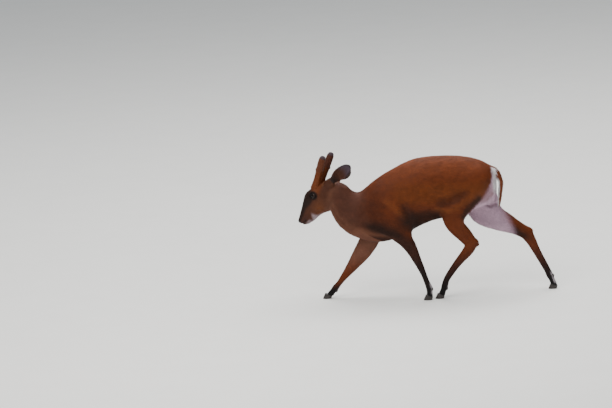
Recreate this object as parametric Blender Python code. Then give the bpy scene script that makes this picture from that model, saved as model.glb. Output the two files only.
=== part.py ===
"""A muntjac buck, life size, walking with its head low, as a still museum model.

Units are metres. +X runs towards the tail, +Z is up, and the near (left) flank faces -Y.
The flesh is modelled whole, from rings along the trunk, head and limbs that a voxel remesh
fuses, and is then parted with thin cuts where one would name the parts of the animal.
"""

import math

import bmesh
import bpy
import numpy as np
from mathutils import Matrix, Vector

GAP = 0.0003
VOXEL = 0.0026
RING_SIDES = 40
LEFT, RIGHT = -1, 1
SIDE_NAMES = {LEFT: "left", RIGHT: "right"}


def clear_scene():
    for obj in list(bpy.data.objects):
        bpy.data.objects.remove(obj)


clear_scene()


# Materials: one plain finish for each kind of surface.
def material(name, red, green, blue, roughness, metallic=0.0):
    made = bpy.data.materials.new(name)
    made.use_nodes = True
    shader = made.node_tree.nodes["Principled BSDF"]
    shader.inputs["Base Color"].default_value = (red, green, blue, 1.0)
    shader.inputs["Roughness"].default_value = roughness
    shader.inputs["Metallic"].default_value = metallic
    return made


COAT = material("short red coat", 0.20, 0.060, 0.018, 0.75)
LEG_COAT = material("dark leg coat", 0.085, 0.032, 0.018, 0.75)
TAIL_COAT = material("tail coat", 0.17, 0.045, 0.016, 0.8)
VELVET = material("antler velvet", 0.15, 0.055, 0.022, 0.85)
EAR_SKIN = material("ear skin and hair", 0.14, 0.07, 0.05, 0.8)
EYE = material("dark eye", 0.012, 0.007, 0.005, 0.08)
HORN = material("black hoof horn", 0.02, 0.017, 0.016, 0.45)


# Meshes from rings: a loft joins closed rings of points of equal count and caps both ends.
def smooth_rows(rows, steps):
    """Rows of numbers with Catmull-Rom rows put between them."""
    rows = [np.array(row, float) for row in rows]
    padded = [2 * rows[0] - rows[1], *rows, 2 * rows[-1] - rows[-2]]
    out = []
    for i in range(1, len(padded) - 2):
        a, b, c, d = padded[i - 1 : i + 3]
        for k in range(steps):
            t = k / steps
            out.append(
                0.5
                * (
                    2 * b
                    + (c - a) * t
                    + (2 * a - 5 * b + 4 * c - d) * t * t
                    + (3 * b - a - 3 * c + d) * t**3
                )
            )
    out.append(rows[-1])
    return out


def power(value, exponent):
    return math.copysign(abs(value) ** exponent, value)


def section(top, bottom, half_width, widest, upper, lower, middle=0.0):
    """A ring through the sagittal points top and bottom. widest is the height of the widest
    level as a share of the depth, and upper and lower are fullness: 1 is an ellipse."""
    top, bottom = Vector((top[0], 0, top[1])), Vector((bottom[0], 0, bottom[1]))
    centre = bottom.lerp(top, widest)
    ring = []
    for k in range(RING_SIDES):
        turn = 2 * math.pi * k / RING_SIDES
        c, s = math.cos(turn), math.sin(turn)
        reach = (top - centre) if c > 0 else (centre - bottom)
        full = upper if c > 0 else lower
        point = centre + reach * power(c, 1.0)
        point.y = middle + half_width * power(s, 1.0 / full)
        ring.append(point)
    return ring


def limb_rings(rows):
    """Rings round a limb's path. A row is x, y, z, half depth, half thickness."""
    rows = smooth_rows(rows, 3)
    centres = [Vector(row[:3]) for row in rows]
    rings = []
    for i, row in enumerate(rows):
        along = centres[min(i + 1, len(rows) - 1)] - centres[max(i - 1, 0)]
        along.normalize()
        across = (Vector((0, 1, 0)) - along * along.y).normalized()
        depth = along.cross(across)
        rings.append(
            [
                centres[i]
                + depth * row[3] * math.cos(2 * math.pi * k / RING_SIDES)
                + across * row[4] * math.sin(2 * math.pi * k / RING_SIDES)
                for k in range(RING_SIDES)
            ]
        )
    return rings


def loft(bm, rings):
    made = [[bm.verts.new(point) for point in ring] for ring in rings]
    faces = []
    for low, high in zip(made, made[1:]):
        for k in range(len(low)):
            after = (k + 1) % len(low)
            faces.append(bm.faces.new((low[k], low[after], high[after], high[k])))
    faces.append(bm.faces.new(made[0]))
    faces.append(bm.faces.new(made[-1]))
    bmesh.ops.recalc_face_normals(bm, faces=faces)


def ellipsoid(bm, centre, radii, turn=Matrix.Identity(4)):
    place = Matrix.Translation(centre) @ turn.to_4x4() @ Matrix.Diagonal((*radii, 1.0))
    bmesh.ops.create_icosphere(bm, subdivisions=4, radius=1.0, matrix=place)


# The trunk and neck. A row is top x, z, bottom x, z, half width, widest level, upper and
# lower fullness, from the buttocks forward.
TRUNK = [
    (0.267, 0.497, 0.267, 0.452, 0.020, 0.50, 1.00, 1.00),
    (0.260, 0.528, 0.262, 0.428, 0.038, 0.52, 1.00, 0.95),
    (0.238, 0.563, 0.243, 0.408, 0.056, 0.55, 1.00, 0.85),
    (0.206, 0.589, 0.215, 0.388, 0.072, 0.56, 1.00, 0.80),
    (0.164, 0.599, 0.175, 0.370, 0.083, 0.55, 1.00, 0.85),
    (0.120, 0.609, 0.130, 0.356, 0.089, 0.52, 1.00, 0.95),
    (0.036, 0.615, 0.050, 0.344, 0.093, 0.48, 1.00, 1.10),
    (-0.040, 0.613, -0.025, 0.330, 0.096, 0.47, 1.00, 1.10),
    (-0.095, 0.603, -0.090, 0.299, 0.094, 0.47, 0.97, 1.05),
    (-0.142, 0.584, -0.165, 0.266, 0.087, 0.46, 0.92, 1.00),
    (-0.190, 0.560, -0.225, 0.251, 0.078, 0.46, 0.85, 0.95),
    (-0.240, 0.535, -0.285, 0.252, 0.070, 0.46, 0.82, 0.95),
    (-0.284, 0.503, -0.340, 0.273, 0.062, 0.48, 0.85, 0.95),
    (-0.312, 0.476, -0.385, 0.296, 0.056, 0.50, 0.90, 1.00),
    (-0.340, 0.473, -0.419, 0.331, 0.050, 0.50, 0.95, 1.00),
    (-0.362, 0.495, -0.444, 0.370, 0.045, 0.50, 1.00, 1.00),
    (-0.388, 0.513, -0.455, 0.401, 0.041, 0.50, 1.00, 1.00),
    (-0.412, 0.520, -0.462, 0.425, 0.036, 0.50, 1.00, 1.00),
]
TURN_STARTS, TURN_ENDS = -0.320, -0.420
HEAD_TURN = math.radians(-21)
TURN_PIVOT = Vector((-0.385, 0.0, 0.0))


def turned(point, share=1.0):
    """The head looks a little away from the near side."""
    turn = Matrix.Rotation(HEAD_TURN * share, 3, "Z")
    return turn @ (point - TURN_PIVOT) + TURN_PIVOT


def neck_bend(point):
    share = min(max((point.x - TURN_STARTS) / (TURN_ENDS - TURN_STARTS), 0.0), 1.0)
    return turned(point, share * share * (3 - 2 * share)) if share > 0 else point


# The head's own frame: a runs down the face from the forehead to the nose, b stands up from
# the line of the face.
FOREHEAD = Vector((-0.550, 0.0, 0.506))
FACE_PITCH = math.radians(68.4)
FACE = Vector((-math.cos(FACE_PITCH), 0, -math.sin(FACE_PITCH)))
CROWN = Vector((-math.sin(FACE_PITCH), 0, math.cos(FACE_PITCH)))


def head_flat(a, b, y=0.0):
    return FOREHEAD + FACE * a + CROWN * b + Vector((0, y, 0))


def head_point(a, b, y=0.0):
    return turned(head_flat(a, b, y))


def side_of(place, side):
    return head_point(place[0], place[1], side * place[2])


def head_axes():
    """The turn whose axes run down the face, across it and up from it."""
    flat = Matrix((FACE, Vector((0, 1, 0)), CROWN)).transposed()
    return (Matrix.Rotation(HEAD_TURN, 3, "Z") @ flat).to_4x4()


def head_ellipsoid(bm, centre, radii, twist=0.0):
    """centre is (a, b, y). radii run down the face, across it and up from it."""
    spin = Matrix.Rotation(math.radians(twist), 4, "Y")
    ellipsoid(bm, head_point(*centre), radii, head_axes() @ spin)


# A head row is top a, b, bottom a, b, half width, widest level, upper and lower fullness,
# from the back of the skull to the nose.
HEAD = [
    (-0.062, -0.127, 0.048, -0.166, 0.0430, 0.50, 1.00, 1.00),
    (-0.053, -0.104, 0.061, -0.148, 0.0450, 0.58, 1.20, 0.95),
    (-0.038, -0.079, 0.074, -0.131, 0.0450, 0.65, 1.45, 0.85),
    (-0.018, -0.052, 0.086, -0.115, 0.0435, 0.70, 1.65, 0.78),
    (0.004, -0.028, 0.097, -0.103, 0.0420, 0.72, 1.70, 0.76),
    (0.026, -0.010, 0.108, -0.094, 0.0390, 0.72, 1.50, 0.78),
    (0.047, -0.001, 0.118, -0.087, 0.0340, 0.68, 1.30, 0.84),
    (0.070, 0.000, 0.130, -0.081, 0.0290, 0.64, 1.15, 0.90),
    (0.093, -0.001, 0.140, -0.075, 0.0250, 0.60, 1.10, 0.95),
    (0.116, -0.002, 0.151, -0.068, 0.0224, 0.56, 1.10, 1.00),
    (0.138, -0.003, 0.159, -0.060, 0.0212, 0.55, 1.15, 1.00),
    (0.157, -0.004, 0.170, -0.050, 0.0200, 0.55, 1.20, 1.00),
    (0.169, -0.007, 0.177, -0.039, 0.0160, 0.55, 1.20, 1.00),
    (0.176, -0.012, 0.180, -0.028, 0.0085, 0.55, 1.10, 1.00),
]

# Places on the head are (a, b, y).
EYE_PLACE = (0.027, -0.050, 0.0350)
EYE_RADIUS = 0.0130
PEDICLE_ROOT = (0.002, -0.040, 0.0200)
PEDICLE_BASE = (-0.044, -0.0380, 0.0272)
BURR = (-0.092, -0.040, 0.0350)
ANTLER_TIP = (-0.158, -0.040, 0.0455)
PEDICLE_RADIUS, BURR_RADIUS, BEAM_RADIUS = 0.0152, 0.0176, 0.0163
BURR_LIPS = (0.97, 1.03)
RIDGE_LIFT = 0.02
RIDGE_FOOT = (0.092, -0.005, 0.0110)
EAR_STEM = (-0.018, -0.084, 0.014)
EAR_ROOT = (-0.062, -0.105, 0.037)
EAR_ROOT_RADIUS = 0.0140
EAR_STEM_RADII = (0.0260, 0.0240, 0.0178)
EAR_STUB, EAR_STEM_OVERLAP = 0.008, 0.012
EAR_AIM = {LEFT: Vector((0.0947, -0.0327, 0.0806)), RIGHT: Vector((0.43, 0.878, 0.21))}
EAR_OPENING = {LEFT: Vector((-0.10, -0.95, -0.22)), RIGHT: Vector((-0.60, 0.20, -0.45))}


def ear_axes(side):
    """Along the ear, across it, and out of the cup's opening."""
    along = EAR_AIM[side].normalized()
    opening = EAR_OPENING[side]
    opening = (opening - along * opening.dot(along)).normalized()
    return along, along.cross(opening).normalized(), opening


def add_trunk(bm):
    rings = [
        [neck_bend(p) for p in section(row[0:2], row[2:4], *row[4:])]
        for row in smooth_rows(TRUNK, 4)
    ]
    loft(bm, rings)


def add_head(bm):
    rings = []
    for row in smooth_rows(HEAD, 4):
        top, bottom = head_flat(row[0], row[1]), head_flat(row[2], row[3])
        ring = section((top.x, top.z), (bottom.x, bottom.z), *row[4:])
        rings.append([turned(point) for point in ring])
    loft(bm, rings)


def tube(bm, places):
    """A round body along a line of (point, radius)."""
    points = [Vector(place[0]) for place in places]
    side = (points[-1] - points[0]).orthogonal()
    rings = []
    for i, (point, radius) in enumerate(places):
        along = (points[min(i + 1, len(points) - 1)] - points[max(i - 1, 0)]).normalized()
        side = (side - along * side.dot(along)).normalized()
        other = along.cross(side)
        ring = []
        for k in range(RING_SIDES):
            turn = 2 * math.pi * k / RING_SIDES
            ring.append(point + (side * math.cos(turn) + other * math.sin(turn)) * radius)
        rings.append(ring)
    loft(bm, rings)


# An antler in velvet: a pedicle, a knobbly burr and a short blunt beam.
PEDICLE_STEPS = [(0.0, 1.35), (0.22, 1.18), (0.45, 1.03), (0.8, 1.0), (0.90, 1.06)]
BEAM_STEPS = [(0.15, 1.0), (0.5, 1.0), (0.8, 0.90), (0.93, 0.72), (0.98, 0.45), (1.0, 0.10)]
RIDGE_STEPS = [(-0.10, 0.0100), (0.3, 0.0090), (0.6, 0.0068), (0.85, 0.0045), (1.0, 0.0032)]


def add_antler(bm, side):
    root, burr, tip = (side_of(p, side) for p in (PEDICLE_ROOT, BURR, ANTLER_TIP))
    places = [(root.lerp(burr, t), PEDICLE_RADIUS * r) for t, r in PEDICLE_STEPS]
    places += [(root.lerp(burr, t), BURR_RADIUS) for t in BURR_LIPS]
    places += [(burr.lerp(tip, t), BEAM_RADIUS * r) for t, r in BEAM_STEPS]
    tube(bm, places)
    base, foot = side_of(PEDICLE_BASE, side), side_of(RIDGE_FOOT, side)
    brow = base.lerp(root, 0.5) + (base - burr) * RIDGE_LIFT
    tube(bm, [(brow.lerp(foot, t), radius) for t, radius in RIDGE_STEPS])


HEAD_FORMS = [
    ((0.021, -0.047, 0.0290), (0.0240, 0.0175, 0.0210), 0),
    ((0.064, -0.082, 0.0160), (0.0340, 0.0170, 0.0220), -37),
    ((0.006, -0.078, 0.0260), (0.0420, 0.0160, 0.0150), -31),
    ((0.060, -0.062, 0.0190), (0.0300, 0.0140, 0.0180), 0),
    ((0.164, -0.017, 0.0105), (0.0135, 0.0095, 0.0115), 0),
    ((0.153, -0.039, 0.0105), (0.0200, 0.0105, 0.0130), 12),
    ((0.171, -0.014, 0.0000), (0.0095, 0.0140, 0.0120), 0),
    ((0.158, -0.051, 0.0000), (0.0150, 0.0122, 0.0085), -30),
]


def add_head_forms(bm):
    for centre, radii, twist in HEAD_FORMS:
        for side in (LEFT, RIGHT) if centre[2] else (LEFT,):
            head_ellipsoid(bm, (centre[0], centre[1], side * centre[2]), radii, twist)
    for side in (LEFT, RIGHT):
        stem, root = side_of(EAR_STEM, side), side_of(EAR_ROOT, side)
        end = root + ear_axes(side)[0] * (EAR_STUB + EAR_STEM_OVERLAP)
        centres = (stem, stem.lerp(root, 0.5), root, end)
        tube(bm, list(zip(centres, (*EAR_STEM_RADII, EAR_ROOT_RADIUS))))
        add_antler(bm, side)


# Each limb's path runs from inside the trunk to the foot. A row is x, y, z, half depth, half
# thickness.
LIMBS = {
    "fore_left": [
        (-0.240, -0.036, 0.500, 0.026, 0.012),
        (-0.245, -0.050, 0.448, 0.046, 0.019),
        (-0.233, -0.059, 0.395, 0.060, 0.025),
        (-0.203, -0.065, 0.346, 0.058, 0.028),
        (-0.160, -0.068, 0.303, 0.045, 0.026),
        (-0.128, -0.068, 0.262, 0.033, 0.0215),
        (-0.105, -0.067, 0.220, 0.0245, 0.0175),
        (-0.085, -0.066, 0.172, 0.0180, 0.0165),
        (-0.074, -0.066, 0.147, 0.0155, 0.0140),
        (-0.062, -0.066, 0.115, 0.0125, 0.0108),
        (-0.050, -0.066, 0.078, 0.0120, 0.0105),
        (-0.041, -0.066, 0.054, 0.0142, 0.0135),
        (-0.040, -0.066, 0.036, 0.0122, 0.0128),
        (-0.041, -0.066, 0.018, 0.0138, 0.0140),
        (-0.042, -0.066, 0.004, 0.0138, 0.0140),
    ],
    "fore_right": [
        (-0.245, 0.036, 0.490, 0.026, 0.012),
        (-0.262, 0.050, 0.430, 0.046, 0.019),
        (-0.272, 0.059, 0.365, 0.056, 0.025),
        (-0.276, 0.064, 0.300, 0.048, 0.027),
        (-0.297, 0.064, 0.242, 0.0425, 0.024),
        (-0.330, 0.061, 0.192, 0.0365, 0.0195),
        (-0.357, 0.059, 0.158, 0.0290, 0.0170),
        (-0.372, 0.058, 0.139, 0.0248, 0.0165),
        (-0.392, 0.057, 0.115, 0.0196, 0.0138),
        (-0.414, 0.056, 0.089, 0.0146, 0.0112),
        (-0.436, 0.055, 0.062, 0.0120, 0.0105),
        (-0.449, 0.055, 0.047, 0.0142, 0.0135),
        (-0.462, 0.055, 0.032, 0.0122, 0.0128),
        (-0.474, 0.055, 0.017, 0.0138, 0.0140),
        (-0.482, 0.055, 0.004, 0.0138, 0.0140),
    ],
    "hind_left": [
        (0.205, -0.040, 0.525, 0.036, 0.024),
        (0.178, -0.053, 0.486, 0.056, 0.031),
        (0.140, -0.062, 0.446, 0.064, 0.035),
        (0.103, -0.068, 0.408, 0.064, 0.035),
        (0.080, -0.071, 0.370, 0.057, 0.032),
        (0.078, -0.070, 0.338, 0.047, 0.028),
        (0.100, -0.068, 0.300, 0.0360, 0.023),
        (0.128, -0.063, 0.264, 0.0295, 0.0165),
        (0.146, -0.058, 0.234, 0.0270, 0.0165),
        (0.131, -0.055, 0.203, 0.0230, 0.0145),
        (0.106, -0.053, 0.175, 0.0190, 0.0125),
        (0.076, -0.050, 0.140, 0.0160, 0.0115),
        (0.046, -0.048, 0.100, 0.0142, 0.0110),
        (0.032, -0.047, 0.076, 0.0134, 0.0110),
        (0.025, -0.046, 0.053, 0.0146, 0.0135),
        (0.018, -0.046, 0.035, 0.0122, 0.0128),
        (0.011, -0.046, 0.018, 0.0138, 0.0140),
        (0.008, -0.046, 0.004, 0.0138, 0.0140),
    ],
    "hind_right": [
        (0.205, 0.040, 0.525, 0.036, 0.024),
        (0.200, 0.053, 0.475, 0.060, 0.031),
        (0.193, 0.061, 0.420, 0.074, 0.034),
        (0.205, 0.066, 0.361, 0.076, 0.032),
        (0.252, 0.067, 0.319, 0.054, 0.029),
        (0.299, 0.064, 0.295, 0.0425, 0.0225),
        (0.346, 0.060, 0.270, 0.0315, 0.0165),
        (0.381, 0.057, 0.248, 0.0285, 0.0165),
        (0.402, 0.056, 0.214, 0.0222, 0.0145),
        (0.415, 0.055, 0.186, 0.0185, 0.0125),
        (0.433, 0.055, 0.148, 0.0160, 0.0115),
        (0.454, 0.055, 0.106, 0.0148, 0.0110),
        (0.466, 0.055, 0.081, 0.0140, 0.0110),
        (0.474, 0.055, 0.060, 0.0148, 0.0135),
        (0.483, 0.055, 0.040, 0.0122, 0.0128),
        (0.489, 0.055, 0.020, 0.0138, 0.0140),
        (0.491, 0.055, 0.004, 0.0138, 0.0140),
    ],
}

# The tail hangs close behind the buttocks.
TAIL = [
    (0.200, 0.000, 0.562, 0.015, 0.018),
    (0.236, 0.000, 0.552, 0.015, 0.021),
    (0.266, 0.000, 0.534, 0.0140, 0.020),
    (0.2815, 0.000, 0.506, 0.0115, 0.0195),
    (0.2865, 0.000, 0.478, 0.0105, 0.0190),
    (0.2820, 0.000, 0.442, 0.0095, 0.0180),
    (0.2775, 0.000, 0.410, 0.0080, 0.0150),
    (0.2750, 0.000, 0.388, 0.0050, 0.0095),
    (0.2740, 0.000, 0.380, 0.0020, 0.0040),
]


def add_limbs(bm):
    for rows in (*LIMBS.values(), TAIL):
        loft(bm, limb_rings(rows))


# Muscle and bone that round out the body: centre, radii and the lean in the sagittal plane.
BODY_FORMS = [
    ((0.194, -0.046, 0.505), (0.052, 0.040, 0.062), 0),
    ((0.194, 0.046, 0.505), (0.052, 0.040, 0.062), 0),
    ((0.050, -0.040, 0.470), (0.150, 0.056, 0.105), 0),
    ((0.050, 0.040, 0.470), (0.150, 0.056, 0.105), 0),
    ((-0.265, -0.034, 0.340), (0.060, 0.034, 0.066), 0),
    ((-0.265, 0.034, 0.340), (0.060, 0.034, 0.066), 0),
    ((-0.117, -0.062, 0.312), (0.0215, 0.0155, 0.0300), -25),
    ((0.164, -0.056, 0.243), (0.0160, 0.0110, 0.0240), -34),
    ((0.145, -0.060, 0.284), (0.0135, 0.0085, 0.0500), -24),
    ((0.392, 0.056, 0.260), (0.0165, 0.0110, 0.0230), -56),
    ((0.338, 0.061, 0.295), (0.0110, 0.0085, 0.0420), -60),
    ((0.236, 0.000, 0.416), (0.026, 0.024, 0.032), 12),
]


def add_body_forms(bm):
    for centre, radii, lean in BODY_FORMS:
        ellipsoid(bm, centre, radii, Matrix.Rotation(math.radians(lean), 4, "Y"))


# Fusing, smoothing, parting and thinning the flesh.
def mesh_object(name, bm):
    data = bpy.data.meshes.new(name)
    bm.to_mesh(data)
    bm.free()
    obj = bpy.data.objects.new(name, data)
    bpy.context.scene.collection.objects.link(obj)
    return obj


def bake(obj):
    """obj with its modifiers applied."""
    graph = bpy.context.evaluated_depsgraph_get()
    data = bpy.data.meshes.new_from_object(obj.evaluated_get(graph), depsgraph=graph)
    obj.modifiers.clear()
    obj.data = data


def relax(obj, rounds, pull, push, share_of):
    """Smoothing that pulls each point towards its neighbours and then pushes it back, to
    keep the volume where pull and push are alike."""
    count = len(obj.data.vertices)
    points = np.empty(count * 3)
    obj.data.vertices.foreach_get("co", points)
    points = points.reshape(-1, 3)
    edges = np.empty(len(obj.data.edges) * 2, np.int64)
    obj.data.edges.foreach_get("vertices", edges)
    ends = edges.reshape(-1, 2)
    degree = np.maximum(np.bincount(edges, minlength=count), 1)[:, None]
    share = share_of(points)[:, None]
    for step in range(rounds):
        total = np.zeros_like(points)
        for axis in range(3):
            total[:, axis] += np.bincount(ends[:, 0], points[ends[:, 1], axis], count)
            total[:, axis] += np.bincount(ends[:, 1], points[ends[:, 0], axis], count)
        amount = pull if step % 2 == 0 else -push
        points = points + amount * share * (total / degree - points)
    obj.data.vertices.foreach_set("co", points.ravel())
    obj.data.update()


def ramp(values, low, high):
    return np.clip((values - low) / (high - low), 0.0, 1.0)


def body_softness(points):
    """1 on the trunk and upper limbs, 0 on the head, feet and tail."""
    head = ramp(points[:, 0], -0.385, -0.425)
    feet = ramp(points[:, 2], 0.330, 0.250)
    tail = ramp(points[:, 0], 0.245, 0.262)
    return 1.0 - np.maximum(np.maximum(head, feet), tail)


def everywhere(points):
    return np.ones(len(points))


def fused_flesh():
    bm = bmesh.new()
    add_trunk(bm)
    add_head(bm)
    add_head_forms(bm)
    add_limbs(bm)
    add_body_forms(bm)
    flesh = mesh_object("flesh", bm)
    remesh = flesh.modifiers.new("fuse", "REMESH")
    remesh.mode = "VOXEL"
    remesh.voxel_size = VOXEL
    bake(flesh)
    relax(flesh, 160, 0.6, 0.0, body_softness)
    relax(flesh, 16, 0.6, 0.5, everywhere)
    return flesh


# Folds pressed into the face: points along the fold as (a, b, y), depth and half width.
# They are pressed into both sides.
FOLDS = [
    ([(0.182, -0.025, 0.000), (0.176, -0.030, 0.014), (0.150, -0.045, 0.022)], 0.0018, 0.0020),
    ([(0.172, -0.010, 0.0085), (0.168, -0.016, 0.0125)], 0.0040, 0.0024),
    ([(0.050, -0.040, 0.032), (0.066, -0.030, 0.028)], 0.0030, 0.0030),
]


def press_folds(obj):
    count = len(obj.data.vertices)
    points, normals = np.empty(count * 3), np.empty(count * 3)
    obj.data.vertices.foreach_get("co", points)
    obj.data.vertices.foreach_get("normal", normals)
    points, normals = points.reshape(-1, 3), normals.reshape(-1, 3)
    for line, depth, width in FOLDS:
        for side in (LEFT, RIGHT):
            knots = [np.array(side_of(place, side)) for place in line]
            nearest = np.full(count, 1.0)
            for start, end in zip(knots, knots[1:]):
                span = end - start
                share = np.clip((points - start) @ span / (span @ span), 0, 1)
                gap = np.linalg.norm(points - start - share[:, None] * span, axis=1)
                nearest = np.minimum(nearest, gap)
            fall = np.exp(-((nearest / width) ** 2))
            points = points - normals * (depth * fall)[:, None]
    obj.data.vertices.foreach_set("co", points.ravel())
    obj.data.update()


# Cuts across the flesh: a point, the direction it is cut across, and how far the cut reaches.
def cut_between(near, far, share=0.5):
    near, far = Vector(near), Vector(far)
    return near.lerp(far, share), (far - near).normalized()


def limb_cut(name, row, share, reach=0.045):
    rows = LIMBS[name]
    point, along = cut_between(rows[row][:3], rows[row + 1][:3], share)
    return point, along, reach


def hoof_frame(name):
    """The middle of the sole and the foot's way forward."""
    foot = Vector(LIMBS[name][-1][:3])
    return Vector((foot.x, foot.y, 0.0)), Matrix.Rotation(HOOF_TURNS[name], 3, "Z") @ Vector(
        (-1, 0, 0)
    )


HOOF_TURNS = {
    "fore_left": math.radians(6),
    "fore_right": math.radians(-4),
    "hind_left": math.radians(6),
    "hind_right": math.radians(-6),
}
CORONET_HEIGHT = 0.0185
CORONET_SLOPE = 0.38


def coronet(name):
    middle, forward = hoof_frame(name)
    normal = Vector((forward.x * -CORONET_SLOPE, forward.y * -CORONET_SLOPE, 1.0)).normalized()
    return middle + Vector((0, 0, CORONET_HEIGHT)), normal


def flesh_cuts():
    cuts = [
        (head_point(0.008, -0.128), turned(head_flat(0.0, -1.0)) - turned(head_flat(0, 0)), 0.095),
        (Vector((-0.349, 0.0, 0.378)), Vector((-0.958, 0.0, 0.287)), 0.125),
        (Vector((0.2835, 0.0, 0.4975)), Vector((0.34, 0.0, -0.94)), 0.026),
        limb_cut("fore_left", 5, 0.00, 0.055),
        limb_cut("fore_left", 7, 0.45),
        limb_cut("fore_left", 10, 0.35),
        limb_cut("fore_right", 4, 0.60, 0.055),
        limb_cut("fore_right", 7, 0.45),
        limb_cut("fore_right", 10, 0.35),
        limb_cut("hind_left", 5, 0.35, 0.070),
        limb_cut("hind_left", 8, 0.85),
        limb_cut("hind_left", 12, 0.70),
        limb_cut("hind_right", 4, 0.40, 0.068),
        limb_cut("hind_right", 7, 0.85),
        limb_cut("hind_right", 11, 0.70),
    ]
    for name in LIMBS:
        cuts.append((*coronet(name), 0.03))
    for side in (LEFT, RIGHT):
        base, burr, tip = (side_of(p, side) for p in (PEDICLE_BASE, BURR, ANTLER_TIP))
        cuts.append((base, (burr - base).normalized(), 0.027))
        cuts.append((burr, (tip - burr).normalized(), 0.027))
        along = ear_axes(side)[0]
        cuts.append((side_of(EAR_ROOT, side) + along * EAR_STUB, along, 0.026))
    return cuts


def closed_loops(edges):
    """Groups of joined edges in which every point has two of them."""
    at = {}
    for edge in edges:
        for vert in edge.verts:
            at.setdefault(vert, []).append(edge)
    loops, seen = [], set()
    for first in edges:
        if first in seen:
            continue
        group, queue = [], [first]
        seen.add(first)
        while queue:
            edge = queue.pop()
            group.append(edge)
            for vert in edge.verts:
                for other in at[vert]:
                    if other not in seen:
                        seen.add(other)
                        queue.append(other)
        if all(len(at[vert]) == 2 for edge in group for vert in edge.verts):
            loops.append(group)
    return loops


def loop_centre(edges):
    verts = {vert for edge in edges for vert in edge.verts}
    return sum((vert.co for vert in verts), Vector()) / len(verts)


def cut(bm, point, normal, reach):
    """Split the mesh along the closed loop where the plane crosses it nearest the point."""
    faces = [f for f in bm.faces if (f.verts[0].co - point).length < reach]
    geometry = {v for f in faces for v in f.verts} | {e for f in faces for e in f.edges}
    geometry = list(geometry) + faces
    made = bmesh.ops.bisect_plane(
        bm, geom=geometry, dist=0.0003, plane_co=point, plane_no=normal
    )
    edges = [item for item in made["geom_cut"] if isinstance(item, bmesh.types.BMEdge)]
    loops = closed_loops(edges)
    assert loops, f"no closed loop near {point}"
    loop = min(loops, key=lambda group: (loop_centre(group) - point).length)
    bmesh.ops.split_edges(bm, edges=loop)


def islands(bm):
    """Faces grouped by joined verts."""
    seen, groups = set(), []
    for first in bm.faces:
        if first in seen:
            continue
        group, queue = [], [first]
        seen.add(first)
        while queue:
            face = queue.pop()
            group.append(face)
            for edge in face.edges:
                for other in edge.link_faces:
                    if other not in seen:
                        seen.add(other)
                        queue.append(other)
        groups.append(group)
    return groups


def lasting_seed(name, row, share=0.5):
    rows = LIMBS[name]
    return Vector(rows[row][:3]).lerp(Vector(rows[row + 1][:3]), share)


# Each flesh node: a point inside it, its triangles and its material.
def flesh_nodes():
    nodes = {
        "head": (head_point(0.070, -0.040), 3600, COAT),
        "neck": (Vector((-0.390, 0.0, 0.420)), 520, COAT),
        "torso": (Vector((0.0, 0.0, 0.470)), 2300, COAT),
        "tail": (Vector((0.283, 0.0, 0.450)), 240, TAIL_COAT),
        "fore_left_forearm": (lasting_seed("fore_left", 6), 320, COAT),
        "fore_left_cannon": (lasting_seed("fore_left", 9), 200, LEG_COAT),
        "fore_left_pastern": (lasting_seed("fore_left", 11), 220, LEG_COAT),
        "fore_right_forearm": (lasting_seed("fore_right", 6), 320, COAT),
        "fore_right_cannon": (lasting_seed("fore_right", 9), 200, LEG_COAT),
        "fore_right_pastern": (lasting_seed("fore_right", 11), 220, LEG_COAT),
        "hind_left_gaskin": (lasting_seed("hind_left", 7), 420, COAT),
        "hind_left_cannon": (lasting_seed("hind_left", 10), 200, LEG_COAT),
        "hind_left_pastern": (lasting_seed("hind_left", 14), 220, LEG_COAT),
        "hind_right_gaskin": (lasting_seed("hind_right", 6), 420, COAT),
        "hind_right_cannon": (lasting_seed("hind_right", 9), 200, LEG_COAT),
        "hind_right_pastern": (lasting_seed("hind_right", 13), 220, LEG_COAT),
    }
    for side in (LEFT, RIGHT):
        base, burr, tip = (side_of(p, side) for p in (PEDICLE_BASE, BURR, ANTLER_TIP))
        nodes["pedicle_" + SIDE_NAMES[side]] = (base.lerp(burr, 0.5), 150, COAT)
        nodes["antler_" + SIDE_NAMES[side]] = (burr.lerp(tip, 0.5), 190, VELVET)
    return nodes


def part_flesh(flesh):
    """Cut the flesh into open islands and make one object for each named node."""
    cuts = flesh_cuts()
    bm = bmesh.new()
    bm.from_mesh(flesh.data)
    for point, normal, reach in cuts:
        cut(bm, point, normal, reach)
    groups = islands(bm)
    made = []
    for name, (seed, budget, finish) in flesh_nodes().items():
        group = min(groups, key=lambda faces: nearness(faces, seed))
        made.append(island_object(name, group, budget, finish))
    bm.free()
    bpy.data.objects.remove(flesh)
    for obj in made:
        close_cuts(obj, cuts)
    return {obj.name: obj for obj in made}


def nearness(faces, seed):
    return min((face.verts[0].co - seed).length_squared for face in faces)


def island_object(name, group, budget, finish):
    bm = bmesh.new()
    copies = {}
    for face in group:
        for vert in face.verts:
            if vert not in copies:
                copies[vert] = bm.verts.new(vert.co)
        bm.faces.new([copies[vert] for vert in face.verts])
    bmesh.ops.triangulate(bm, faces=bm.faces)
    count = len(bm.faces)
    obj = mesh_object(name, bm)
    thin = obj.modifiers.new("thin", "DECIMATE")
    thin.ratio = min(1.0, budget / count)
    bake(obj)
    obj.data.materials.append(finish)
    return obj


def verts_in_turn(rim):
    """The verts of a closed loop of edges, one after another."""
    edge, vert = rim[0], rim[0].verts[0]
    turn = []
    while not turn or vert is not turn[0]:
        turn.append(vert)
        vert = edge.other_vert(vert)
        edge = next(other for other in rim if vert in other.verts and other is not edge)
    return turn


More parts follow.
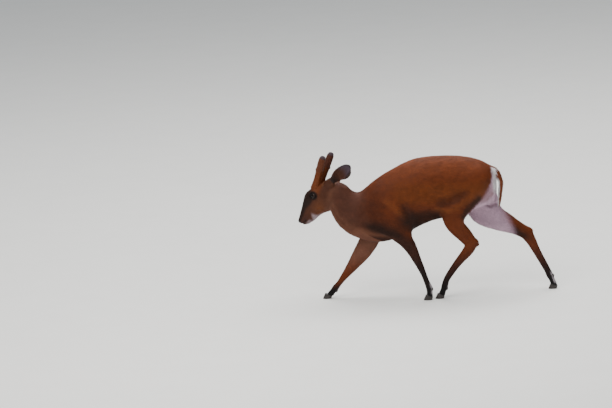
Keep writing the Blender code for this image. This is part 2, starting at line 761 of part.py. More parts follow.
def close_cuts(obj, cuts):
    """Flatten each open edge onto its side of the cut and fill it."""
    bm = bmesh.new()
    bm.from_mesh(obj.data)
    rims = closed_loops([edge for edge in bm.edges if edge.is_boundary])
    for rim in rims:
        centre = loop_centre(rim)
        point, normal, _ = min(cuts, key=lambda item: (item[0] - centre).length)
        inner = Vector()
        for edge in rim:
            inner += edge.link_faces[0].calc_center_median() - centre
        side = 1.0 if inner.dot(normal) > 0 else -1.0
        for vert in {vert for edge in rim for vert in edge.verts}:
            height = (vert.co - point).dot(normal)
            vert.co += normal * (side * GAP / 2 - height)
        lid = bm.faces.new(verts_in_turn(rim))
        bmesh.ops.triangulate(bm, faces=[lid], ngon_method="BEAUTY")
    bmesh.ops.recalc_face_normals(bm, faces=bm.faces)
    bm.to_mesh(obj.data)
    bm.free()


def subtract(node, tool):
    """Cut the tool's shape out of the node and throw the tool away."""
    step = node.modifiers.new("socket", "BOOLEAN")
    step.operation = "DIFFERENCE"
    step.solver = "EXACT"
    step.object = tool
    bake(node)
    bpy.data.objects.remove(tool)


flesh = fused_flesh()
press_folds(flesh)
NODES = part_flesh(flesh)


# The eyes: dark globes in sockets, behind lids that part in an almond.
EYE_SEGMENTS, LID_SEGMENTS = 20, 16
LID_OPENING = (0.0108, 0.0085, 0.0074)
LID_DEPTH_SHARE = 0.86


def eye_axis(side):
    """The way an eye looks: out, a little forward and a little up."""
    return (head_axes() @ Vector((0.16, side * 0.95, 0.22))).normalized()


def eye_frame(side):
    """The turn whose axes run along the slit of the lids, out of the eye and across."""
    out = eye_axis(side)
    slit = head_axes() @ Vector((1.0, 0.0, 0.45))
    slit = (slit - out * slit.dot(out)).normalized()
    return Matrix((slit, out, slit.cross(out))).transposed().to_4x4()


def ball(name, centre, radii, frame, segments):
    bm = bmesh.new()
    place = Matrix.Translation(centre) @ frame @ Matrix.Diagonal((*radii, 1.0))
    bmesh.ops.create_uvsphere(
        bm, u_segments=segments, v_segments=segments * 3 // 4, radius=1.0, matrix=place
    )
    return mesh_object(name, bm)


for side in (LEFT, RIGHT):
    centre = side_of(EYE_PLACE, side)
    frame = eye_frame(side)
    socket = [EYE_RADIUS + GAP] * 3
    subtract(NODES["head"], ball("socket", centre, socket, frame, EYE_SEGMENTS))
    opening = centre + eye_axis(side) * (EYE_RADIUS * LID_DEPTH_SHARE)
    subtract(NODES["head"], ball("lids", opening, LID_OPENING, frame, LID_SEGMENTS))
    name = "eye_" + SIDE_NAMES[side]
    globe = ball(name, centre, [EYE_RADIUS] * 3, frame, EYE_SEGMENTS)
    globe.data.materials.append(EYE)
    NODES[name] = globe


# The ears: leaf-shaped cups that grow from round stubs on the head.
EAR_LENGTH = 0.1136
EAR_WALL = 0.0032
EAR_ARC = 11
# Share of the length, half width, depth of the back and how far the cup has opened.
EAR_ROWS = [
    (0.00, 0.0137, 0.0137, 0.00),
    (0.08, 0.0158, 0.0147, 0.02),
    (0.18, 0.0212, 0.0165, 0.45),
    (0.30, 0.0256, 0.0170, 0.90),
    (0.44, 0.0276, 0.0156, 1.00),
    (0.58, 0.0271, 0.0132, 1.00),
    (0.72, 0.0245, 0.0104, 1.00),
    (0.84, 0.0203, 0.0080, 1.00),
    (0.93, 0.0145, 0.0060, 1.00),
    (0.98, 0.0085, 0.0045, 1.00),
    (1.00, 0.0035, 0.0036, 1.00),
]
EAR_BEND = 0.010


def ear_ring(side, row):
    share, width, depth, opened = row
    along, across, opening = ear_axes(side)
    start = side_of(EAR_ROOT, side) + along * (EAR_STUB + GAP / 2)
    middle = start + along * share * EAR_LENGTH + opening * EAR_BEND * share * share
    ring = []
    for k in range(EAR_ARC):
        angle = math.pi * (k / (EAR_ARC - 1) - 0.5)
        ring.append(middle + across * width * math.sin(angle) - opening * depth * math.cos(angle))
    wall = EAR_WALL * (1.0 - 0.45 * share)
    for k in range(1, EAR_ARC - 1):
        angle = math.pi * (0.5 - k / (EAR_ARC - 1))
        inner = (depth - wall) * opened - depth * (1.0 - opened)
        ring.append(
            middle
            + across * (width - wall * opened) * math.sin(angle)
            - opening * inner * math.cos(angle)
        )
    return ring


for side in (LEFT, RIGHT):
    bm = bmesh.new()
    loft(bm, [ear_ring(side, row) for row in EAR_ROWS])
    bmesh.ops.triangulate(bm, faces=bm.faces)
    ear = mesh_object("ear_" + SIDE_NAMES[side], bm)
    ear.data.materials.append(EAR_SKIN)
    NODES[ear.name] = ear


# The hooves: two claws on each foot, flat underneath, with a cleft between them.
SOLE_LENGTH, SOLE_WIDTH, SOLE_LEAD = 0.0190, 0.0140, 0.0075
TOP_LENGTH, TOP_WIDTH = 0.0150, 0.0128
CLEFT = 0.0011
CLAW_SIDES = 12
CLAW_LEVELS = (0.0, 0.12, 0.55, 1.0)


def claw_ring(middle, forward, outward, level, slope):
    """A D-shaped ring with its flat along the cleft."""
    lead = SOLE_LEAD * (1.0 - level)
    length = SOLE_LENGTH + (TOP_LENGTH - SOLE_LENGTH) * level
    width = SOLE_WIDTH + (TOP_WIDTH - SOLE_WIDTH) * level
    if level == 0.0:
        length, width = length - 0.0008, width - 0.0008
    ring = []
    for k in range(CLAW_SIDES):
        turn = math.pi * k / (CLAW_SIDES - 1)
        ahead = math.cos(turn) * length
        aside = CLEFT + math.sin(turn) ** 0.8 * (width - CLEFT)
        point = middle + forward * (ahead + lead) + outward * aside
        top = CORONET_HEIGHT + slope * (ahead + lead * level) - GAP
        point.z = top * level
        ring.append(point)
    return ring


for name in LIMBS:
    middle, forward = hoof_frame(name)
    across = Vector((forward.y, -forward.x, 0.0))
    for inner, outward in (("inner", across), ("outer", -across)):
        bm = bmesh.new()
        loft(
            bm,
            [claw_ring(middle, forward, outward, level, CORONET_SLOPE) for level in CLAW_LEVELS],
        )
        bmesh.ops.triangulate(bm, faces=bm.faces)
        claw = mesh_object(f"{name}_hoof_{inner}", bm)
        claw.data.materials.append(HORN)
        NODES[claw.name] = claw


# The dewclaws: two small points behind each fetlock, set in the hair.
DEWCLAW_RADII = (0.0042, 0.0034, 0.0072)
DEWCLAW_SEGMENTS = 8
DEWCLAW_BACK_SHARE, DEWCLAW_SPREAD = 0.92, 0.0062
DEWCLAW_ROWS = {
    "fore_left": (11, 0.45),
    "fore_right": (11, 0.45),
    "hind_left": (14, 0.35),
    "hind_right": (13, 0.35),
}


def dewclaw_place(name, outward):
    row, share = DEWCLAW_ROWS[name]
    first, second = (np.array(LIMBS[name][k]) for k in (row, row + 1))
    place = first + (second - first) * share
    along = Vector(second[:3] - first[:3]).normalized()
    back = Vector((-along.z, 0.0, along.x))
    back = back if back.x > 0 else -back
    aside = Vector((0, outward * DEWCLAW_SPREAD, 0))
    return Vector(place[:3]) + back * place[3] * DEWCLAW_BACK_SHARE + aside, along


for name in LIMBS:
    for inner, outward in (("inner", 1), ("outer", -1)):
        place, along = dewclaw_place(name, outward if LIMBS[name][0][1] < 0 else -outward)
        frame = Vector((0, 0, 1)).rotation_difference(along).to_matrix().to_4x4()
        roomy = [radius + GAP for radius in DEWCLAW_RADII]
        subtract(NODES[name + "_pastern"], ball("socket", place, roomy, frame, DEWCLAW_SEGMENTS))
        label = f"{name}_dewclaw_{inner}"
        dewclaw = ball(label, place, DEWCLAW_RADII, frame, DEWCLAW_SEGMENTS)
        dewclaw.data.materials.append(HORN)
        NODES[dewclaw.name] = dewclaw


# The finished nodes are smooth shaded and set down with the middle of the stance near the
# origin and the soles on the ground.
STANCE_X, STANCE_Y = 0.0455, -0.0295
lowest = min(vert.co.z for node in NODES.values() for vert in node.data.vertices)
SHIFT = Vector((STANCE_X, STANCE_Y, -lowest))
for node in NODES.values():
    node.data.transform(Matrix.Translation(SHIFT))
    round_faces = not node.name.count("hoof")
    node.data.polygons.foreach_set("use_smooth", [round_faces] * len(node.data.polygons))
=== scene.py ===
import math

import bmesh
import bpy
import numpy as np
from mathutils import Matrix, Vector


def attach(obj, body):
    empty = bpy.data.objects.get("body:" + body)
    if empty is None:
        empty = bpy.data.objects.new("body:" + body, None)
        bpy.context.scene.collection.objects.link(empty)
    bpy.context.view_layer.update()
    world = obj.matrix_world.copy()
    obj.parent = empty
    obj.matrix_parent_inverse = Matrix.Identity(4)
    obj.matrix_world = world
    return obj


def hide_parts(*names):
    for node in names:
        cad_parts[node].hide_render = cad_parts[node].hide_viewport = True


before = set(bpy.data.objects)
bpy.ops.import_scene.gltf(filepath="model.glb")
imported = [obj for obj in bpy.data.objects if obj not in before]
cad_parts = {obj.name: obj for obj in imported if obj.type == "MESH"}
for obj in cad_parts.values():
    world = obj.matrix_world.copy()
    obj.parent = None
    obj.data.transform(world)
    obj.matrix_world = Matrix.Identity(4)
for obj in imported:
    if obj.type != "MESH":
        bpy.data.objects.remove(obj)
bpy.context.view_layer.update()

# Hide. One closed skin over head, ears, neck, body, tail and legs, as the live buck has, so
# no seam shows. It is fused from the solids of flesh, smoothed so that muscle rolls into
# muscle, and drawn in by the depth of the coat that lies over it.
LIMB_NAMES = ("fore_left", "fore_right", "hind_left", "hind_right")
HIDE_NODES = ["head", "neck", "torso", "tail", "ear_left", "ear_right"]
HIDE_NODES += ["pedicle_left", "pedicle_right"]
for limb in LIMB_NAMES:
    upper = "forearm" if limb.startswith("fore") else "gaskin"
    HIDE_NODES += [f"{limb}_{upper}", f"{limb}_cannon", f"{limb}_pastern"]
# How much fuller each copy is made, so that the cuts between the nodes close up. Copies of the
# eyes fill the sockets while the skin is made.
MERGE_REACH = 0.00002
HIDE_SWELLS = {node: 0.00035 for node in HIDE_NODES if not node.startswith("ear_")}
HIDE_SWELLS |= {"eye_left": 0.0, "eye_right": 0.0, "ear_left": 0.00090, "ear_right": 0.00090}
HIDE_VOXEL = 0.0017

# The head's own axes, from the middle of the brow: down the face, across it, and up from it.
HEAD_TURN = math.radians(-21)
FACE_PITCH = math.radians(68.4)
BROW = Vector((-0.49357, 0.03020, 0.50596))
TURN = Matrix.Rotation(HEAD_TURN, 3, "Z")
DOWN_FACE = TURN @ Vector((-math.cos(FACE_PITCH), 0.0, -math.sin(FACE_PITCH)))
ACROSS = TURN @ Vector((0.0, 1.0, 0.0))
UP_CROWN = TURN @ Vector((-math.sin(FACE_PITCH), 0.0, math.cos(FACE_PITCH)))


def on_head(down, up, side=0.0):
    """A point down the face from the brow, up from the face and to the right of it."""
    return BROW + DOWN_FACE * down + UP_CROWN * up + ACROSS * side


def on_side(line, sign):
    """A line of such places, on one side of the head."""
    return [on_head(down, up, sign * side) for down, up, side in line]


def head_places(points):
    """Down, up and side of every point."""
    from_brow = points - np.array(BROW)
    return (
        from_brow @ np.array(DOWN_FACE),
        from_brow @ np.array(UP_CROWN),
        from_brow @ np.array(ACROSS),
    )


def ramp(values, low, high):
    """0 at low, 1 at high, eased."""
    share = np.clip((values - low) / (high - low), 0.0, 1.0)
    return share * share * (3.0 - 2.0 * share)


def joined_copies(swells):
    """CAD nodes' meshes in one, their loose triangles joined and every wall a little fuller."""
    whole = bmesh.new()
    for node, swell in swells.items():
        bm = bmesh.new()
        bm.from_mesh(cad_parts[node].data)
        bmesh.ops.remove_doubles(bm, verts=bm.verts, dist=MERGE_REACH)
        bm.normal_update()
        for vert in bm.verts:
            vert.co += vert.normal * swell
        data = bpy.data.meshes.new(node + "_copy")
        bm.to_mesh(data)
        bm.free()
        whole.from_mesh(data)
        bpy.data.meshes.remove(data)
    return whole


def placed(name, data):
    """A new object at the origin."""
    obj = bpy.data.objects.new(name, data)
    bpy.context.scene.collection.objects.link(obj)
    return obj


def piece(name, bm):
    """A new object from a bmesh."""
    data = bpy.data.meshes.new(name)
    bm.to_mesh(data)
    bm.free()
    return placed(name, data)


def settle(obj):
    """Applies obj's modifiers."""
    graph = bpy.context.evaluated_depsgraph_get()
    data = bpy.data.meshes.new_from_object(obj.evaluated_get(graph), depsgraph=graph)
    obj.modifiers.clear()
    obj.data = data


def fuse(obj, voxel):
    """Turns all that lies in obj into one closed surface."""
    remesh = obj.modifiers.new("fuse", "REMESH")
    remesh.mode = "VOXEL"
    remesh.voxel_size = voxel
    settle(obj)


def smooth(obj):
    obj.data.polygons.foreach_set("use_smooth", [True] * len(obj.data.polygons))


def points_of(data, kind="co"):
    values = np.empty(len(data.vertices) * 3)
    data.vertices.foreach_get(kind, values)
    return values.reshape(-1, 3)


def normals_of(data):
    return points_of(data, "normal")


def move_to(data, points):
    data.vertices.foreach_set("co", points.ravel())
    data.update()


def joined_to(data):
    """The two points of every edge, and how many edges meet at each point."""
    edges = np.empty(len(data.edges) * 2, np.int64)
    data.edges.foreach_get("vertices", edges)
    meeting = np.bincount(edges, minlength=len(data.vertices))
    return edges[0::2], edges[1::2], np.maximum(meeting, 1)


def relax(obj, rounds, pull, push, share):
    """Pulls each point to its neighbours' middle, then pushes it back by push."""
    points = points_of(obj.data)
    first, second, meeting = joined_to(obj.data)
    for step in range(rounds):
        total = np.zeros_like(points)
        for axis in range(3):
            total[:, axis] += np.bincount(first, points[second, axis], len(points))
            total[:, axis] += np.bincount(second, points[first, axis], len(points))
        amount = pull if step % 2 == 0 else -push
        points = points + amount * share[:, None] * (total / meeting[:, None] - points)
    move_to(obj.data, points)


def restore_fullness(obj, before, rounds):
    """Moves smoothed points back out by what they lost, evened over the hide."""
    points, normals = points_of(obj.data), normals_of(obj.data)
    lost = np.sum((before - points) * normals, axis=1)
    first, second, meeting = joined_to(obj.data)
    for _ in range(rounds):
        total = np.bincount(first, lost[second], len(lost))
        total = total + np.bincount(second, lost[first], len(lost))
        lost = lost + 0.6 * (total / meeting - lost)
    move_to(obj.data, points + normals * lost[:, None])


def keep_largest(obj):
    """Drops all but the largest closed surface."""
    first, second, meeting = joined_to(obj.data)
    label = np.arange(len(meeting))
    while True:
        low = np.minimum(label[first], label[second])
        before = label.copy()
        np.minimum.at(label, first, low)
        np.minimum.at(label, second, low)
        label = label[label]
        if np.array_equal(before, label):
            break
    names, sizes = np.unique(label, return_counts=True)
    keep = label == names[np.argmax(sizes)]
    if keep.all():
        return
    bm = bmesh.new()
    bm.from_mesh(obj.data)
    loose = [vert for vert, kept in zip(bm.verts, keep) if not kept]
    bmesh.ops.delete(bm, geom=loose, context="VERTS")
    bm.to_mesh(obj.data)
    bm.free()


hide = piece("hide", joined_copies(HIDE_SWELLS))
fuse(hide, HIDE_VOXEL)
keep_largest(hide)

# The skin is thinned out twice: all of it but the eyes, nose and mouth, then the body alone.
EYE_RADIUS = 0.0130
EYE_MIDDLES = {side: on_head(0.027, -0.050, side * 0.0350) for side in (-1, 1)}
NOSE_MIDDLE = on_head(0.164, -0.024)
FINE_REACH = 0.026
SKIN_SHARE, BODY_SHARE = 0.50, 0.325


def gap_to(points, place):
    """How far each point is from one place."""
    return np.linalg.norm(points - np.array(place), axis=1)


def thin_out(obj, kept, share):
    """Leaves a share of the faces, and all of them at the kept points."""
    coarse = obj.vertex_groups.new(name="coarse")
    coarse.add(np.nonzero(~kept)[0].tolist(), 1.0, "REPLACE")
    thin = obj.modifiers.new("thin", "DECIMATE")
    thin.ratio = share
    thin.vertex_group = "coarse"
    settle(obj)
    obj.vertex_groups.clear()


points = points_of(hide.data)
fine = [gap_to(points, place) < FINE_REACH for place in (NOSE_MIDDLE, *EYE_MIDDLES.values())]
thin_out(hide, np.any(fine, axis=0), SKIN_SHARE)
x, y, z = points_of(hide.data).T
head_and_ears = ((x < -0.365) & (z > 0.315)) | ((x < -0.290) & (z > 0.515))
thin_out(hide, head_and_ears, BODY_SHARE)

# The paths that the limbs and tail run along, from the trunk to the tip, the plane that parts
# left from right, and the ways that the ears point and open on each side.
LIMB_PATHS = {
    "fore_left": [
        (-0.195, -0.065, 0.500), (-0.188, -0.088, 0.395), (-0.115, -0.097, 0.303),
        (-0.060, -0.096, 0.220), (-0.029, -0.095, 0.147), (-0.005, -0.095, 0.078),
        (0.004, -0.095, 0.050), (0.003, -0.095, 0.000),
    ],
    "fore_right": [
        (-0.200, 0.007, 0.490), (-0.227, 0.030, 0.365), (-0.253, 0.035, 0.242),
        (-0.312, 0.030, 0.158), (-0.347, 0.028, 0.115), (-0.391, 0.026, 0.062),
        (-0.417, 0.026, 0.032), (-0.437, 0.026, 0.000),
    ],
    "hind_left": [
        (0.250, -0.069, 0.525), (0.185, -0.091, 0.446), (0.125, -0.100, 0.370),
        (0.144, -0.097, 0.300), (0.191, -0.087, 0.235), (0.152, -0.082, 0.175),
        (0.092, -0.077, 0.100), (0.070, -0.075, 0.053), (0.053, -0.075, 0.000),
    ],
    "hind_right": [
        (0.250, 0.011, 0.525), (0.238, 0.032, 0.420), (0.298, 0.038, 0.320),
        (0.392, 0.031, 0.271), (0.428, 0.028, 0.246), (0.460, 0.026, 0.186),
        (0.499, 0.026, 0.106), (0.520, 0.026, 0.055), (0.536, 0.026, 0.000),
    ],
}
MIDLINE = -0.0290
TAIL_PATH = [(0.309, MIDLINE, 0.529), (0.331, MIDLINE, 0.490), (0.327, MIDLINE, 0.430)]
TAIL_PATH += [(0.319, MIDLINE, 0.380)]
EAR_AIMS = {-1: Vector((0.0947, -0.0327, 0.0806)), 1: Vector((0.43, 0.878, 0.21))}
EAR_CUPS = {-1: Vector((-0.10, -0.95, -0.22)), 1: Vector((-0.60, 0.20, -0.45))}
EAR_LENGTH = 0.1216


def beside(points, line):
    """Distance from a line of places, the share along it, and the way it runs there."""
    knots = [np.array(place, float) for place in line]
    lengths = [np.linalg.norm(end - start) for start, end in zip(knots, knots[1:])]
    total, passed = sum(lengths), 0.0
    nearest = np.full(len(points), 9.0)
    share = np.zeros(len(points))
    way = np.zeros_like(points)
    foot = np.zeros_like(points)
    for start, end, length in zip(knots, knots[1:], lengths):
        span = (end - start) / length
        walked = np.clip((points - start) @ span, 0.0, length)
        place = start + walked[:, None] * span
        gap = np.linalg.norm(points - place, axis=1)
        closer = gap < nearest
        nearest[closer] = gap[closer]
        share[closer] = (passed + walked[closer]) / total
        way[closer] = span
        foot[closer] = place[closer]
        passed += length
    return nearest, share, way, foot


def ear_axes(side):
    """The ear's root, and the ways along it, across it and out of its cup."""
    along = EAR_AIMS[side].normalized()
    out = EAR_CUPS[side]
    out = (out - along * out.dot(along)).normalized()
    return on_head(-0.062, -0.105, side * 0.037), along, along.cross(out), out


def on_ear_side(points):
    """Whether each point is high and far forward enough to be on an ear."""
    x, y, z = points.T
    return ((x < -0.325) & (z > 0.49)) | ((x < -0.27) & (z > 0.545)) | ((x < -0.27) & (y > 0.07))


def regions(points):
    """What part of the buck each point lies on, as soft shares and places along it."""
    x, y, z = points.T
    down, up, side = head_places(points)
    head = ramp(up, -0.152, -0.118) * ((x < -0.325) & (z > 0.30))
    neck = ramp(x, -0.215, -0.275) * ramp(z, 0.25, 0.31) * (1.0 - head)
    ear, ear_share = np.zeros(len(points)), np.zeros(len(points))
    for sign in (-1, 1):
        root, along = (np.array(axis) for axis in ear_axes(sign)[:2])
        rise = (points - root) @ along
        sideways = np.linalg.norm(points - root - rise[:, None] * along, axis=1)
        on_ear = ramp(rise, 0.002, 0.014) * (sideways < 0.036) * on_ear_side(points)
        ear = np.maximum(ear, on_ear)
        ear_share = np.where(on_ear > 0, rise / EAR_LENGTH, ear_share)
    found = {"down": down, "up": up, "side": side, "head": head, "neck": neck}
    found |= {"ear": ear, "ear_share": ear_share}
    by_limb = zip(*(beside(points, LIMB_PATHS[limb]) for limb in LIMB_NAMES))
    gaps, *others = (np.stack(values) for values in by_limb)
    found["limb"] = gaps.argmin(axis=0)
    for key, values in zip(("gap", "share", "way", "foot"), (gaps, *others)):
        found["limb_" + key] = values[found["limb"], np.arange(len(points))]
    gap, found["tail_share"], found["tail_way"], foot = beside(points, TAIL_PATH)
    found["tail"] = ramp(gap, 0.027, 0.021) * ramp(x, 0.310, 0.3145)
    found["tail_behind"] = x - foot[:, 0]
    return found


# Head, legs and buttocks stay firm as the hide is smoothed, and ears keep their rims.
MELT_ROUNDS, REFILL_ROUNDS, POLISH_ROUNDS = 110, 60, 14
PULL, PUSH = 0.55, 0.57
FIRMNESS, EAR_FIRMNESS = 0.96, 0.35
points = points_of(hide.data)
where = regions(points)
legs = ramp(points[:, 2], 0.330, 0.250)
firm = np.maximum.reduce([where["head"], legs, ramp(points[:, 0], 0.292, 0.306)])
melting = (1.0 - FIRMNESS * firm) * (1.0 - where["ear"]) * ~on_ear_side(points)
relax(hide, MELT_ROUNDS, PULL, 0.0, melting)
restore_fullness(hide, points, REFILL_ROUNDS)
relax(hide, POLISH_ROUNDS, PULL, PUSH, 1.0 - EAR_FIRMNESS * where["ear"])

# How deep the coat lies over each part, in metres.
COAT_DEPTHS = {"trunk": 0.0022, "neck": 0.0018, "head": 0.0007, "leg": 0.0010, "ear": 0.0006}


def coat_depth(points, where):
    """How far the skin lies under the CAD surface, which stands for the coat's top."""
    depth = np.full(len(points), COAT_DEPTHS["trunk"])
    for key, share in (
        ("neck", where["neck"]),
        ("leg", ramp(points[:, 2], 0.300, 0.180)),
        ("head", where["head"]),
        ("ear", where["ear"]),
    ):
        depth += (COAT_DEPTHS[key] - depth) * share
    return depth


points = points_of(hide.data)
where = regions(points)
points -= normals_of(hide.data) * coat_depth(points, where)[:, None]
move_to(hide.data, points)

# Muscles under the hide: places along each hollow, its depth and half width. A depth below
# zero raises a fold instead. Those of the fore quarter are alike on both flanks, and those of
# the hind quarter follow each thigh.
FORE_HOLLOWS = [
    ([(-0.112, -0.128, 0.470), (-0.084, -0.125, 0.415), (-0.056, -0.112, 0.345)], 0.0058, 0.0125),
    ([(-0.272, -0.090, 0.490), (-0.268, -0.095, 0.420), (-0.256, -0.085, 0.345)], 0.0050, 0.0150),
    ([(-0.166, -0.120, 0.445), (-0.124, -0.120, 0.403), (-0.082, -0.112, 0.362)], -0.0042, 0.0135),
    ([(-0.150, -0.115, 0.560), (-0.176, -0.122, 0.480), (-0.200, -0.112, 0.400)], -0.0026, 0.0110),
    ([(-0.180, -0.112, 0.560), (-0.206, -0.112, 0.480)], 0.0024, 0.0130),
    ([(-0.232, -0.080, 0.332), (-0.180, -0.085, 0.316), (-0.120, -0.085, 0.309)], 0.0040, 0.0090),
    ([(-0.330, -0.075, 0.330), (-0.385, -0.060, 0.385), (-0.405, -0.050, 0.430)], 0.0020, 0.0110),
]
NEAR_HIND_HOLLOWS = [
    ([(0.020, -0.130, 0.474), (0.064, -0.128, 0.446), (0.120, -0.125, 0.440)], 0.0052, 0.0190),
    ([(0.120, -0.125, 0.440), (0.172, -0.122, 0.462)], 0.0036, 0.0130),
    ([(0.048, -0.122, 0.392), (0.112, -0.124, 0.395), (0.176, -0.120, 0.430)], -0.0056, 0.0100),
    ([(0.176, -0.120, 0.430), (0.210, -0.118, 0.455), (0.250, -0.105, 0.480)], -0.0032, 0.0110),
    ([(0.160, -0.117, 0.312), (0.186, -0.106, 0.268)], 0.0030, 0.0070),
]
FAR_HIND_HOLLOWS = [
    ([(0.030, 0.071, 0.470), (0.090, 0.069, 0.440), (0.165, 0.066, 0.430)], 0.0045, 0.0200),
    ([(0.080, 0.064, 0.388), (0.150, 0.066, 0.396), (0.215, 0.064, 0.430)], -0.0036, 0.0110),
    ([(0.300, 0.062, 0.352), (0.352, 0.052, 0.316)], 0.0026, 0.0070),
]


def press(points, normals, line, depth, width):
    gap = beside(points, line)[0]
    return points - normals * (depth * np.exp(-((gap / width) ** 2)))[:, None]


points, normals = points_of(hide.data), normals_of(hide.data)
for line, depth, width in FORE_HOLLOWS:
    far_line = [(x, 2 * MIDLINE - y, z) for x, y, z in line]
    points = press(points, normals, line, depth, width)
    points = press(points, normals, far_line, depth, width)
for line, depth, width in NEAR_HIND_HOLLOWS + FAR_HIND_HOLLOWS:
    points = press(points, normals, line, depth, width)
move_to(hide.data, points)

# The face is cut finer round the eyes and at the nose and mouth, where its folds are.
FINER = [(NOSE_MIDDLE, 0.0235), (NOSE_MIDDLE, 0.0195)]
for eye_middle in EYE_MIDDLES.values():
    FINER += [(eye_middle, 0.022), (eye_middle, 0.0185)]
bm = bmesh.new()
bm.from_mesh(hide.data)
for middle, reach in FINER:
    near = [e for e in bm.edges if (e.verts[0].co - middle).length < reach]
    bmesh.ops.subdivide_edges(bm, edges=near, cuts=1, use_grid_fill=True, smooth=0.0)
bmesh.ops.triangulate(bm, faces=[f for f in bm.faces if len(f.verts) > 4])
bm.to_mesh(hide.data)
bm.free()
points = points_of(hide.data)
down, up, side = head_places(points)
FACE_ROUNDS, FACE_PULL = 6, 0.5
near_face = ramp(down, -0.01, 0.01) * ramp(up, -0.115, -0.100) * (points[:, 0] < -0.33)
relax(hide, FACE_ROUNDS, FACE_PULL, FACE_PULL, near_face)


# Lids and folds of the face, in the head's own places.
def eye_axes(side):
    """The way the eye looks, the way its slit runs, and the way across the slit."""
    out = (DOWN_FACE * 0.16 + ACROSS * side * 0.95 + UP_CROWN * 0.22).normalized()
    slit = DOWN_FACE + UP_CROWN * 0.45
    slit = (slit - out * slit.dot(out)).normalized()
    return out, slit, out.cross(slit)


# The slit's half length and half height, and how round its ends and its sides are. Then, with
# 1 on the slit's own edge, where the skin leaves the face and where it lies on the globe as a
# lid, and where the slit begins to open and where it is open.
SLIT_LENGTH, SLIT_HEIGHT = 0.0119, 0.0081
SLIT_ENDS, SLIT_SIDES = 2.0, 1.35
LID_THICKNESS, LID_CLEARANCE, SLIT_DEPTH = 0.0013, 0.0004, 0.0016
LID_OUTER, LID_INNER, SLIT_OUTER, SLIT_INNER = 3.4, 1.3, 1.06, 0.94


def slit_place(points, side):
    """How far out of the slit's almond each point is: 1 on its edge."""
    out, slit, over = (np.array(axis) for axis in eye_axes(side))
    rel = points - np.array(EYE_MIDDLES[side])
    along = (np.abs(rel @ slit) / SLIT_LENGTH) ** SLIT_ENDS
    height = (np.abs(rel @ over) / SLIT_HEIGHT) ** SLIT_SIDES
    return along + height, rel, rel @ out


points = points_of(hide.data)
for side in (-1, 1):
    place, rel, outward = slit_place(points, side)
    radius = np.linalg.norm(rel, axis=1)
    near_eye = (radius < 0.024) & (outward > 0.002)
    rim = EYE_RADIUS + LID_THICKNESS
    lid = np.where(near_eye, ramp(place, LID_OUTER, LID_INNER), 0.0)
    lid_radius = np.maximum(radius + (rim - radius) * lid, EYE_RADIUS + LID_CLEARANCE)
    sunk = EYE_RADIUS - SLIT_DEPTH
    open_share = np.where(near_eye, ramp(place, SLIT_OUTER, SLIT_INNER), 0.0)
    lid_radius = np.where(near_eye, lid_radius, radius)
    new_radius = lid_radius + (sunk - lid_radius) * open_share
    points = points - rel + rel * (new_radius / np.maximum(radius, 1e-9))[:, None]
move_to(hide.data, points)

# Folds on both sides: places down, up and to the side, with a depth and a half width. They
# are the lips, each nostril's comma and the groove between them, the gland slit before the
# eye, the folds below and above it, the cheek and the hollow down the forehead.
LIP_LINE = [(0.180, -0.028, 0.000), (0.174, -0.031, 0.012), (0.150, -0.045, 0.022)]
NOSTRIL = [(0.177, -0.006, 0.0070), (0.173, -0.0125, 0.0110), (0.166, -0.0165, 0.0150)]
NOSTRIL += [(0.160, -0.0150, 0.0165)]
FACE_FOLDS = [
    (LIP_LINE, 0.0030, 0.0015),
    (NOSTRIL, 0.0038, 0.0018),
    ([(0.179, -0.014, 0.0000), (0.176, -0.026, 0.0000)], 0.0009, 0.0009),
    ([(0.047, -0.043, 0.032), (0.058, -0.035, 0.030), (0.069, -0.029, 0.027)], 0.0034, 0.0019),
    ([(0.000, -0.058, 0.043), (0.012, -0.063, 0.043), (0.028, -0.071, 0.041)], 0.0011, 0.0024),
    ([(0.015, -0.032, 0.040), (0.027, -0.032, 0.039), (0.040, -0.036, 0.037)], 0.0009, 0.0014),
    ([(0.036, -0.074, 0.039), (0.075, -0.062, 0.028)], 0.0012, 0.0060),
    ([(0.010, -0.016, 0.000), (0.060, -0.002, 0.000)], 0.0014, 0.0050),
]
points, normals = points_of(hide.data), normals_of(hide.data)
for places, depth, width in FACE_FOLDS:
    for side in (-1, 1):
        points = press(points, normals, on_side(places, side), depth, width)
move_to(hide.data, points)
smooth(hide)


def linear(hex_colour):
    """An sRGB hex colour as linear red, green and blue."""
    parts = [int(hex_colour[i : i + 2], 16) / 255 for i in (1, 3, 5)]
    return np.array([c / 12.92 if c <= 0.04045 else ((c + 0.055) / 1.055) ** 2.4 for c in parts])


# Markings, which skin and hair share: rufous back, dull neck, dark face and feet, and white
# buttocks, inner thighs and underside of the tail. Some of them are painted light: painted shade
# on the underside and in the body's creases and hollows, painted highlights on the ridges of its
# muscles, and a top to the back lightened in part as painted light from above. Each mark is a tone
# and a share of it, laid over the marks before it.
# The second tone on the next line lightens the top of the back: the saddle's own tone in part, and
# painted light from above in part.
RUFOUS, SADDLE_AND_TOP_LIGHT, FLANK_GOLD = linear("#743411"), linear("#83401E"), linear("#7C3E12")
# The first tone on the next line is painted shade, for the underside and for creases.
PAINTED_SHADE_BROWN, CHEST_BAND = linear("#2C1409"), linear("#7A4C38")
# On the next line: painted shade for the hollows of the shoulder and thighs, then a painted
# highlight for the ridges of the muscles.
PAINTED_HOLLOW_SHADE, PAINTED_RIDGE_HIGHLIGHT = linear("#4E2109"), linear("#86441B")
NECK_DUN, THROAT_DUN = linear("#5C3527"), linear("#7A4C37")
HAIR_SHADE = 0.80
# Soft ovals of painted shade on both flanks, over the shoulder blade, behind the elbow and on the
# belly: their middles and half sizes, as x and z.
SHOULDER_SHADE_SPOT = ((-0.215, 0.405), (0.055, 0.095))
ELBOW_SHADE_SPOT = ((-0.070, 0.345), (0.050, 0.045))
BELLY_SHADE_SPOT = ((0.002, 0.368), (0.080, 0.028))
